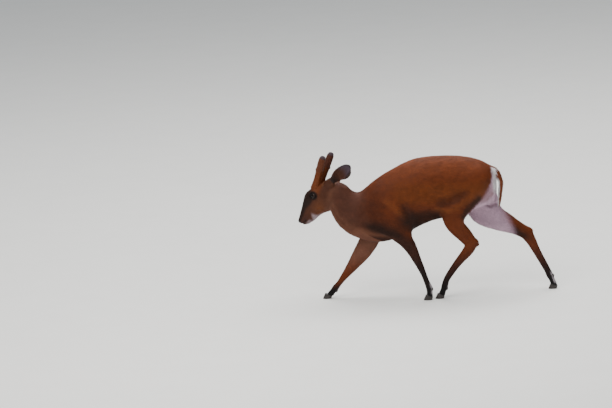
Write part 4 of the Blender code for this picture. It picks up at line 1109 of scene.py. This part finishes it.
weights = np.concatenate((1.0 - mix.sum(axis=1, keepdims=True), mix), axis=1)[:, :, None]
roots = (triangles[chosen] * weights).sum(axis=1)
root_normals = unit((corner_normals[chosen] * weights).sum(axis=1))
where = regions(roots)

# Tufts differ: each takes the colour of a place up to a few millimetres off, so the markings'
# edges are ragged, and its length, lie, width and rise off the skin vary a little.
COLOUR_STRAY, LIE_SPREAD = 0.0016, 0.11
LENGTH_RANGE, WIDTH_RANGE, RISE_RANGE = (0.75, 1.2), (0.8, 1.25), (0.6, 1.25)
RISE_BY_LENGTH, RISE_BY_COAT, EAR_TIP_CUT, EAR_CLOSER = 0.06, 0.75, 0.55, 0.6
root_colour = markings(roots + random.normal(0.0, COLOUR_STRAY, roots.shape), root_normals)[0]
root_length = middle_length[chosen] * random.uniform(*LENGTH_RANGE, total)
root_lie = lie_of_coat(roots, root_normals, where)
root_lie = laid_flat(root_lie + random.normal(0.0, LIE_SPREAD, roots.shape), root_normals)
root_width = hair_width(root_length) * random.uniform(*WIDTH_RANGE, total)
rise = RISE_BY_LENGTH * root_length + RISE_BY_COAT * coat_depth(roots, where)
rise *= random.uniform(*RISE_RANGE, total)
ear_tip = where["ear"] * ramp(where["ear_share"], 0.90, 0.97)
root_length *= 1.0 - EAR_TIP_CUT * ear_tip
rise *= 1.0 - EAR_CLOSER * where["ear"]
chart = hide_chart(roots, where)

# Above each dewclaw the hair is longer and stands out over the claw's upper half.
CLAW_HAIR, CLAW_RISE = 0.0082, 0.0034
for limb in LIMB_NAMES:
    for place in ("inner", "outer"):
        claw = points_of(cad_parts[f"{limb}_dewclaw_{place}"].data).mean(axis=0)
        near_claw = ramp(gap_to(roots, claw), 0.0120, 0.0075)
        near_claw *= ramp(roots[:, 2] - claw[2], -0.001, 0.003)
        root_length += (CLAW_HAIR - root_length) * near_claw
        rise += CLAW_RISE * near_claw

# Deer hair: smooth, flattened hairs that give the eye a soft gloss along them. A mottle of
# patches about 35 mm wide stands for hair that lies a little differently.
coat_hair, tree, shader, place = new_material("glossy summer deer hair")
colour = add_node(tree, "Attribute", {"attribute_name": "coat_colour"})
mottle = add_node(
    tree, "TexNoise", (),
    {"Vector": place, "Scale": 28.0, "Detail": 4.0, "Roughness": 0.6},
)
shade = add_node(
    tree, "MapRange", (),
    {
        "Value": mottle.outputs["Fac"],
        "From Min": 0.34, "From Max": 0.66, "To Min": 0.76, "To Max": 1.20,
    },
)
mottled = add_node(
    tree, "VectorMath", {"operation": "SCALE"},
    {0: colour.outputs["Color"], "Scale": shade.outputs[0]},
)
set_inputs(shader, {
    "Base Color": mottled.outputs[0],
    "Roughness": 0.55,
    "Specular IOR Level": 0.18,
    "Sheen Weight": 0.02,
    "Sheen Roughness": 0.4,
})

# The coat's pieces: hair below the elbow and stifle goes with its leg, and the rest by part.
LEG_TOP, FACE_START, REAR_START = 0.285, 0.045, 0.06
limb_hair = (roots[:, 2] < LEG_TOP) & (where["limb_gap"] < 0.062)
limb_hair &= ~((roots[:, 2] > 0.19) & (np.abs(roots[:, 1] - MIDLINE) < 0.030))
head_hair = (where["head"] > 0.5) & (where["ear"] <= 0.5)
ear_hair = where["ear"] > 0.5
neck_hair = (where["neck"] > 0.5) & ~limb_hair
tail_hair = where["tail"] > 0.5
trunk_hair = ~(limb_hair | head_hair | ear_hair | neck_hair | tail_hair)
near_flank, rear_half = roots[:, 1] < MIDLINE, roots[:, 0] > REAR_START
COAT_PIECES = {
    "coat_face": head_hair & (where["down"] > FACE_START),
    "coat_crown": head_hair & (where["down"] <= FACE_START),
    "coat_ears": ear_hair,
    "coat_neck": neck_hair,
    "coat_left_shoulder": trunk_hair & near_flank & ~rear_half,
    "coat_left_quarter": trunk_hair & near_flank & rear_half,
    "coat_right_shoulder": trunk_hair & ~near_flank & ~rear_half,
    "coat_right_quarter": trunk_hair & ~near_flank & rear_half,
    "coat_tail": tail_hair,
}
for number, limb in enumerate(LIMB_NAMES):
    COAT_PIECES["coat_" + limb] = limb_hair & (where["limb"] == number)
blade = tuft_pattern()
for name, chosen in COAT_PIECES.items():
    coat = grow(
        name, blade, roots[chosen], root_normals[chosen], root_lie[chosen],
        root_length[chosen], root_width[chosen], rise[chosen], root_colour[chosen],
        chart[chosen], random,
    )
    coat.data.materials.append(coat_hair)
    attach(coat, "root")

# Eyes. Large, dark and wet, set in the side of the skull: a globe with a clear bulged front
# over a brown iris and a long level pupil, in black bare lid edges that hold it all round.
IRIS_RADIUS, PUPIL_HALF_LENGTH, PUPIL_HALF_HEIGHT = 0.0102, 0.0066, 0.0040
CORNEA_BULGE, IRIS_EDGE = 0.0007, 0.0006


def solid(hex_colour):
    """An sRGB hex colour for a colour input."""
    return (*linear(hex_colour), 1)


# Wet eye: almost black, with one small sharp glint, and a faint brown ring when seen close.
wet_eye, tree, shader, place = new_material("wet brown eye")
pupil_share = add_node(tree, "Attribute", {"attribute_name": "pupil"})
iris_share = add_node(tree, "Attribute", {"attribute_name": "iris"})
fibres = add_node(tree, "TexNoise", (), {"Vector": place, "Scale": 1400.0, "Detail": 2.0})
iris = add_node(
    tree, "Mix", {"data_type": "RGBA"},
    {0: fibres.outputs["Fac"], 6: solid("#140A06"), 7: solid("#32180B")},
)
globe = add_node(
    tree, "Mix", {"data_type": "RGBA"},
    {0: iris_share.outputs["Fac"], 6: solid("#3B2A24"), 7: iris.outputs[2]},
)
whole_eye = add_node(
    tree, "Mix", {"data_type": "RGBA"},
    {0: pupil_share.outputs["Fac"], 6: globe.outputs[2], 7: solid("#050304")},
)
set_inputs(shader, {
    "Base Color": whole_eye.outputs[2],
    "Roughness": 0.12,
    "Specular IOR Level": 0.06,
    "Coat Weight": 0.2,
    "Coat Roughness": 0.02,
})

# Eyelid skin: bare, black and moist, with a fine grain and a dull shine that rings the eye.
lid_skin, tree, shader, place = new_material("moist black eyelid skin")
grain = add_node(tree, "TexNoise", (), {"Vector": place, "Scale": 1800.0})
tone = add_node(
    tree, "Mix", {"data_type": "RGBA"},
    {0: grain.outputs["Fac"], 6: solid("#0B0808"), 7: solid("#241917")},
)
bump = add_node(tree, "Bump", (), {"Height": grain.outputs["Fac"], "Distance": 0.0002})
set_inputs(shader, {
    "Base Color": tone.outputs[2],
    "Normal": bump.outputs[0],
    "Roughness": 0.34,
})

LID_EDGE_RADIUS, LID_WIDENING, LID_LIFT = 0.0008, 1.15, 0.0003
LID_SIDES, LID_STEPS = 10, 64
LASH_COUNT, LASH_LENGTH, LASH_WIDTH, LASH_LIFT = 110, 0.0075, 0.00055, 0.0006
LASH_OUT, LASH_UP, LASH_FAN, LASH_SPREAD, LASH_RISE = 0.80, 0.30, 0.5, 0.10, 0.12
LASH_BLACK = linear("#0A0606")
for side, name in ((-1, "left"), (1, "right")):
    out, slit, over = eye_axes(side)
    middle = EYE_MIDDLES[side]
    axes = Matrix((slit, over, out)).transposed().to_4x4()
    if axes.determinant() < 0:
        axes = Matrix((slit, -over, out)).transposed().to_4x4()
    bm = bmesh.new()
    bmesh.ops.create_uvsphere(bm, u_segments=56, v_segments=40, radius=EYE_RADIUS)
    for vert in bm.verts:
        rim = math.hypot(vert.co.x, vert.co.y) / IRIS_RADIUS
        if vert.co.z > 0 and rim < 1:
            vert.co.z += CORNEA_BULGE * (1.0 - rim * rim) ** 1.5
    flat = np.array([vert.co[:] for vert in bm.verts])
    bmesh.ops.transform(bm, matrix=Matrix.Translation(middle) @ axes, verts=bm.verts)
    bmesh.ops.recalc_face_normals(bm, faces=bm.faces)
    eye = piece("eyeball_" + name, bm)
    front = flat[:, 2] > 0
    pupil = (flat[:, 0] / PUPIL_HALF_LENGTH) ** 2 + (flat[:, 1] / PUPIL_HALF_HEIGHT) ** 2
    write_share(eye.data, ramp(pupil, 1.25, 0.85) * front, "pupil")
    reach = np.hypot(flat[:, 0], flat[:, 1])
    write_share(eye.data, ramp(reach, IRIS_RADIUS, IRIS_RADIUS - IRIS_EDGE) * front, "iris")
    smooth(eye)
    eye.data.materials.append(wet_eye)
    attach(eye, "root")
    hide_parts("eye_" + name)

    # The lid edge is a round bead swept along the slit's almond on the globe.
    bm = bmesh.new()
    rings = []
    for step in range(LID_STEPS):
        turn = 2 * math.pi * step / LID_STEPS
        c, s = math.cos(turn), math.sin(turn)
        along = math.copysign(abs(c) ** (2 / SLIT_ENDS), c) * SLIT_LENGTH
        height = math.copysign(abs(s) ** (2 / SLIT_SIDES), s) * SLIT_HEIGHT
        level = math.sqrt(max((EYE_RADIUS + LID_LIFT) ** 2 - along**2 - height**2, 0.0))
        rings.append(middle + slit * along + over * height + out * level)
    loops = []
    for step, centre in enumerate(rings):
        along = (rings[(step + 1) % LID_STEPS] - rings[step - 1]).normalized()
        spoke = (centre - middle).normalized()
        width = along.cross(spoke).normalized()
        loop = []
        for k in range(LID_SIDES):
            angle = 2 * math.pi * k / LID_SIDES
            offset = width * math.cos(angle) * LID_WIDENING + spoke * math.sin(angle)
            loop.append(bm.verts.new(centre + offset * LID_EDGE_RADIUS))
        loops.append([bm.edges.new((loop[k - 1], loop[k])) for k in range(LID_SIDES)])
    for step in range(LID_STEPS):
        bmesh.ops.bridge_loops(bm, edges=loops[step - 1] + loops[step])
    bmesh.ops.recalc_face_normals(bm, faces=bm.faces)
    lid = piece("lid_edge_" + name, bm)
    smooth(lid)
    lid.data.materials.append(lid_skin)
    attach(lid, "root")

    # Lashes: a row of stiff black tapering hairs along the upper lid, which curtain the eye.
    upper = over if over.dot(UP_CROWN) > 0 else -over
    turn = np.sort(random.uniform(0.06, 0.94, LASH_COUNT)) * math.pi
    along = np.cos(turn) * SLIT_LENGTH
    height = np.sin(turn) ** (2 / SLIT_SIDES) * SLIT_HEIGHT
    level = np.sqrt((EYE_RADIUS + LASH_LIFT) ** 2 - along**2 - height**2)
    axes = [np.array(axis) for axis in (slit, upper, out)]
    spokes = along[:, None] * axes[0] + height[:, None] * axes[1] + level[:, None] * axes[2]
    lash_roots = spokes + np.array(middle)
    fan = (along / SLIT_LENGTH * LASH_FAN)[:, None] * axes[0]
    lash_way = axes[2] * LASH_OUT + axes[1] * LASH_UP + fan
    lash_way = unit(lash_way + random.normal(0.0, LASH_SPREAD, lash_way.shape))
    lash_up = unit(axes[1] - lash_way * (lash_way @ axes[1])[:, None])
    lash_length = LASH_LENGTH * (0.45 + 0.55 * np.sin(turn)) * random.uniform(0.8, 1.1, LASH_COUNT)
    lashes = grow(
        "lashes_" + name, blade, lash_roots, lash_up, lash_way, lash_length,
        np.full(LASH_COUNT, LASH_WIDTH), lash_length * LASH_RISE,
        np.tile(LASH_BLACK, (LASH_COUNT, 1)),
        hide_chart(lash_roots, regions(lash_roots)), random,
    )
    lashes.data.materials.append(coat_hair)
    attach(lashes, "root")


# Antlers. This buck's are in velvet: short blunt spikes on long hairy pedicles, each with a
# low knobbly burr at its foot, under plush dark skin.
VELVET_VOXEL, SPIKE_ROUNDS, SPIKE_PUSH = 0.0011, 24, 0.56
ANTLER_FOOT, ANTLER_LENGTH = 0.092, 0.059
# Places on the head of the line that the spikes stand round: its height and its side.
SPIKE_UP, SPIKE_SIDE = -0.040, 0.040
# The burr's reach up the spike, how far it hangs, its bulge and its knobs, the furrows above
# it, and how much thinner the spike is made, to leave room for the plush.
BURR_REACH, BURR_DROP = 0.055, 0.0038
BULGE, KNOB, FURROW, THINNED = 0.0010, 0.0007, 0.0004, 0.0005
# The second tone on the next line is painted shade between the spikes, the third a grey violet
# painted sky sheen for the tips.
VELVET_BROWN, VELVET_INNER_SHADE, VELVET_TIP_SKY_SHEEN = linear("#5E2E15"), linear("#451F13"), linear("#403036")


def antler_places(points):
    """The side of the head, the share up the spike, and the turn round it."""
    down, up, side = head_places(points)
    rise = np.clip((-ANTLER_FOOT - down) / ANTLER_LENGTH, 0.0, 1.0)
    return side, rise, np.arctan2(up - SPIKE_UP, np.abs(side) - SPIKE_SIDE)


def velvet_marks(points):
    """Velvet is brown, with painted shade on the inner sides where the spikes face each other and
    a grey violet painted sky sheen at the tip.
    """
    side, rise, spin = antler_places(points)
    inner = ramp(np.abs(side) - 0.035 - rise * 0.010, 0.003, -0.006)
    colour = VELVET_BROWN + (VELVET_INNER_SHADE - VELVET_BROWN) * (0.75 * inner)[:, None]
    return colour + (VELVET_TIP_SKY_SHEEN - colour) * ramp(rise, 0.84, 1.0)[:, None]


antler = piece("antlers", joined_copies({"antler_left": 0.0, "antler_right": 0.0}))
fuse(antler, VELVET_VOXEL)
relax(antler, SPIKE_ROUNDS, PULL, SPIKE_PUSH, np.ones(len(antler.data.vertices)))
points, normals = points_of(antler.data), normals_of(antler.data)
side, rise, spin = antler_places(points)
burr = np.exp(-((rise / BURR_REACH) ** 2))
points += np.array(DOWN_FACE) * (BURR_DROP * burr)[:, None]
knobs = (BULGE + KNOB * np.sin(spin * 7.0)) * burr
furrows = FURROW * np.sin(spin * 9.0 + 6.0 * rise) * ramp(rise, 0.08, 0.3) * ramp(rise, 1.0, 0.8)
move_to(antler.data, points + normals * (knobs + furrows - THINNED)[:, None])
smooth(antler)
points, normals = points_of(antler.data), normals_of(antler.data)
write_colour(antler.data, velvet_marks(points) * HAIR_SHADE)

# Velvet: skin under a dense plush about 1 mm fine, matt, with a faint pale bloom at the edge.
velvet, tree, shader, place = new_material("plush antler velvet")
colour = add_node(tree, "Attribute", {"attribute_name": "coat_colour"})
plush = add_node(tree, "TexNoise", (), {"Vector": place, "Scale": 900.0, "Detail": 3.0})
shade = add_node(
    tree, "MapRange", (),
    {"Value": plush.outputs["Fac"], "To Min": 0.6, "To Max": 1.4},
)
plushed = add_node(
    tree, "VectorMath", {"operation": "SCALE"},
    {0: colour.outputs["Color"], "Scale": shade.outputs[0]},
)
bump = add_node(tree, "Bump", (), {"Height": plush.outputs["Fac"], "Distance": 0.0005})
set_inputs(shader, {
    "Base Color": plushed.outputs[0],
    "Normal": bump.outputs[0],
    "Roughness": 0.8,
    "Specular IOR Level": 0.25,
    "Sheen Weight": 0.06,
})
antler.data.materials.append(velvet)
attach(antler, "root")
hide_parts("antler_left", "antler_right")

# The velvet's plush, in tufts 2 mm long that stand a little off the spike.
PLUSH_COUNT, PLUSH_LENGTH, PLUSH_WIDTH = 9000, 0.0021, 0.0007
PLUSH_SPREAD, PLUSH_RISE = 0.25, 0.35
numbers, corners, areas = triangles_of(antler.data)
chosen = random.choice(len(areas), PLUSH_COUNT, p=areas / areas.sum())
plush_roots = corners[chosen].mean(axis=1)
plush_normals = unit(normals[numbers][chosen].mean(axis=1))
plush_lie = np.tile(-np.array(DOWN_FACE), (PLUSH_COUNT, 1))
plush_lie = plush_lie + random.normal(0, PLUSH_SPREAD, (PLUSH_COUNT, 3))
plush_lie = laid_flat(plush_lie, plush_normals)
plush_length = PLUSH_LENGTH * random.uniform(0.7, 1.3, PLUSH_COUNT)
side, rise, spin = antler_places(plush_roots)
turn = spin / (2 * math.pi) + 0.5
climb = np.clip(-0.09 - head_places(plush_roots)[0], 0, 0.06)
chart = np.stack((0.5 + 0.12 * turn + 0.12 * (side > 0), 0.70 + 4.0 * climb), axis=1)
plush = grow(
    "antler_plush", blade, plush_roots, plush_normals, plush_lie, plush_length,
    np.full(PLUSH_COUNT, PLUSH_WIDTH), plush_length * PLUSH_RISE, velvet_marks(plush_roots),
    chart, random,
)
plush.data.materials.append(coat_hair)
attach(plush, "root")


# Hooves. Two black horn claws on each foot, polished by wear and ringed by slow growth, with
# two small dewclaws behind the fetlock. Each is the CAD claw with its edges rounded.

# Hoof horn: black with brown scuffs, glossy where it is whole and duller where it is scuffed,
# with growth rings about 11 mm apart that catch the light.
hoof_horn, tree, shader, place = new_material("polished black hoof horn")
rings = add_node(
    tree, "TexWave", {"bands_direction": "Z"},
    {"Vector": place, "Scale": 90.0, "Distortion": 2.5, "Detail": 2.0},
)
scuffs = add_node(
    tree, "TexNoise", (),
    {"Vector": place, "Scale": 260.0, "Detail": 5.0, "Roughness": 0.65},
)
tone = add_node(
    tree, "Mix", {"data_type": "RGBA"},
    {0: scuffs.outputs["Fac"], 6: solid("#0E0C0D"), 7: solid("#3A302C")},
)
gloss = add_node(
    tree, "MapRange", (),
    {"Value": scuffs.outputs["Fac"], "To Min": 0.22, "To Max": 0.5},
)
bump = add_node(
    tree, "Bump", (),
    {"Height": rings.outputs["Fac"], "Strength": 0.5, "Distance": 0.0003},
)
set_inputs(shader, {
    "Base Color": tone.outputs[2],
    "Roughness": gloss.outputs[0],
    "Normal": bump.outputs[0],
})
EDGE_ROUNDING, SHARP_ANGLE, FLAT_ANGLE = 0.0011, 0.7, math.radians(4)
for limb in LIMB_NAMES:
    for kind in ("hoof", "dewclaw"):
        nodes = [f"{limb}_{kind}_inner", f"{limb}_{kind}_outer"]
        bm = joined_copies(dict.fromkeys(nodes, 0.0))
        if kind == "hoof":
            bmesh.ops.dissolve_limit(bm, angle_limit=FLAT_ANGLE, verts=bm.verts, edges=bm.edges)
            inner_edges = [edge for edge in bm.edges if len(edge.link_faces) == 2]
            sharp = [edge for edge in inner_edges if edge.calc_face_angle() > SHARP_ANGLE]
            bmesh.ops.bevel(
                bm, geom=sharp, offset=EDGE_ROUNDING, segments=3, profile=0.5, affect="EDGES",
                material=-1,
            )
        claws = piece(f"{limb}_{kind}s", bm)
        smooth(claws)
        if kind == "dewclaw":
            finer = claws.modifiers.new("finer", "SUBSURF")
            finer.levels = finer.render_levels = 2
            settle(claws)
        claws.data.materials.append(hoof_horn)
        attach(claws, "root")
        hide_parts(*nodes)


# Floor: a plain pale studio floor, wide and flat. Its matt paint is faintly uneven in tone, so
# that it gives the eye soft shadows under the feet and no shine.
floor_paint, tree, shader, place = new_material("matt pale floor paint")
stipple = add_node(tree, "TexNoise", (), {"Vector": place, "Scale": 6.0})
tone = add_node(
    tree, "Mix", {"data_type": "RGBA"},
    {0: stipple.outputs["Fac"], 6: solid("#E2E2DF"), 7: solid("#E7E7E4")},
)
set_inputs(shader, {"Base Color": tone.outputs[2], "Roughness": 0.85})
FLOOR_REACH = 14.0
bm = bmesh.new()
bmesh.ops.create_grid(bm, x_segments=2, y_segments=2, size=FLOOR_REACH)
floor = piece("floor", bm)
floor.data.materials.append(floor_paint)

# Light: an overcast sky from every side, one wide soft window high on the near side, and a
# wide pale ceiling straight above, so that the belly and the insides of the legs stay dark.
sky = bpy.data.worlds.new("overcast sky")
bpy.context.scene.world = sky
sky.use_nodes = True
set_inputs(sky.node_tree.nodes["Background"], {"Color": (0.90, 0.95, 1.0, 1.0), "Strength": 0.50})
BUCK_MIDDLE = Vector((0.0, 0.0, 0.3))
# Each light's name, place, size across, power in watts and tint.
for name, place, size, power, tint in (
    ("window", (-1.1, -2.4, 3.2), 2.6, 105.0, (1.0, 0.97, 0.92)),
    ("ceiling", (0.2, 1.6, 6.0), 7.0, 620.0, (1.0, 0.98, 0.96)),
):
    light = bpy.data.lights.new(name, "AREA")
    light.shape = "DISK"
    light.size = size
    light.energy = power
    light.color = tint
    lamp = placed(name, light)
    lamp.location = place
    aim = BUCK_MIDDLE - lamp.location
    lamp.rotation_mode = "QUATERNION"
    lamp.rotation_quaternion = aim.to_track_quat("-Z", "Y")

# Camera: a long lens far off on the near side, a little above the back and looking down on it.
# A pixel of the photo is PIXEL metres wide at the buck, and the middle of the picture lies to
# one side of the buck's own middle, as it does there.
PIXEL = 0.0043
HALF_WIDTH, HALF_HEIGHT = 306, 204
BUCK_ACROSS, BUCK_DOWN = 440, 296
LOOK_DOWN, LOOK_ROUND, LEAN = (math.radians(a) for a in (11.0, 4.0, 3.4))
DISTANCE = 23.5
# Where the photo's point (BUCK_ACROSS, BUCK_DOWN) lies on the buck.
FRAME_ORIGIN = Vector((0.045469, -0.028930, -0.00004))
forward = Vector(
    (
        -math.sin(LOOK_ROUND) * math.cos(LOOK_DOWN),
        math.cos(LOOK_ROUND) * math.cos(LOOK_DOWN),
        -math.sin(LOOK_DOWN),
    )
)
level = Vector((math.cos(LOOK_ROUND), math.sin(LOOK_ROUND), 0.0))
rise = level.cross(forward)
right = level * math.cos(LEAN) - rise * math.sin(LEAN)
upward = level * math.sin(LEAN) + rise * math.cos(LEAN)
target = right * (HALF_WIDTH - BUCK_ACROSS) * PIXEL + upward * (BUCK_DOWN - HALF_HEIGHT) * PIXEL
lens = bpy.data.cameras.new("camera")
lens.sensor_width = 36.0
lens.lens = lens.sensor_width / 2 / (HALF_WIDTH * PIXEL / DISTANCE)
lens.clip_end = 100.0
camera = placed("camera", lens)
camera.matrix_world = (
    Matrix.Translation(target - forward * DISTANCE + FRAME_ORIGIN)
    @ Matrix((right, upward, -forward)).transposed().to_4x4()
)
bpy.context.scene.camera = camera
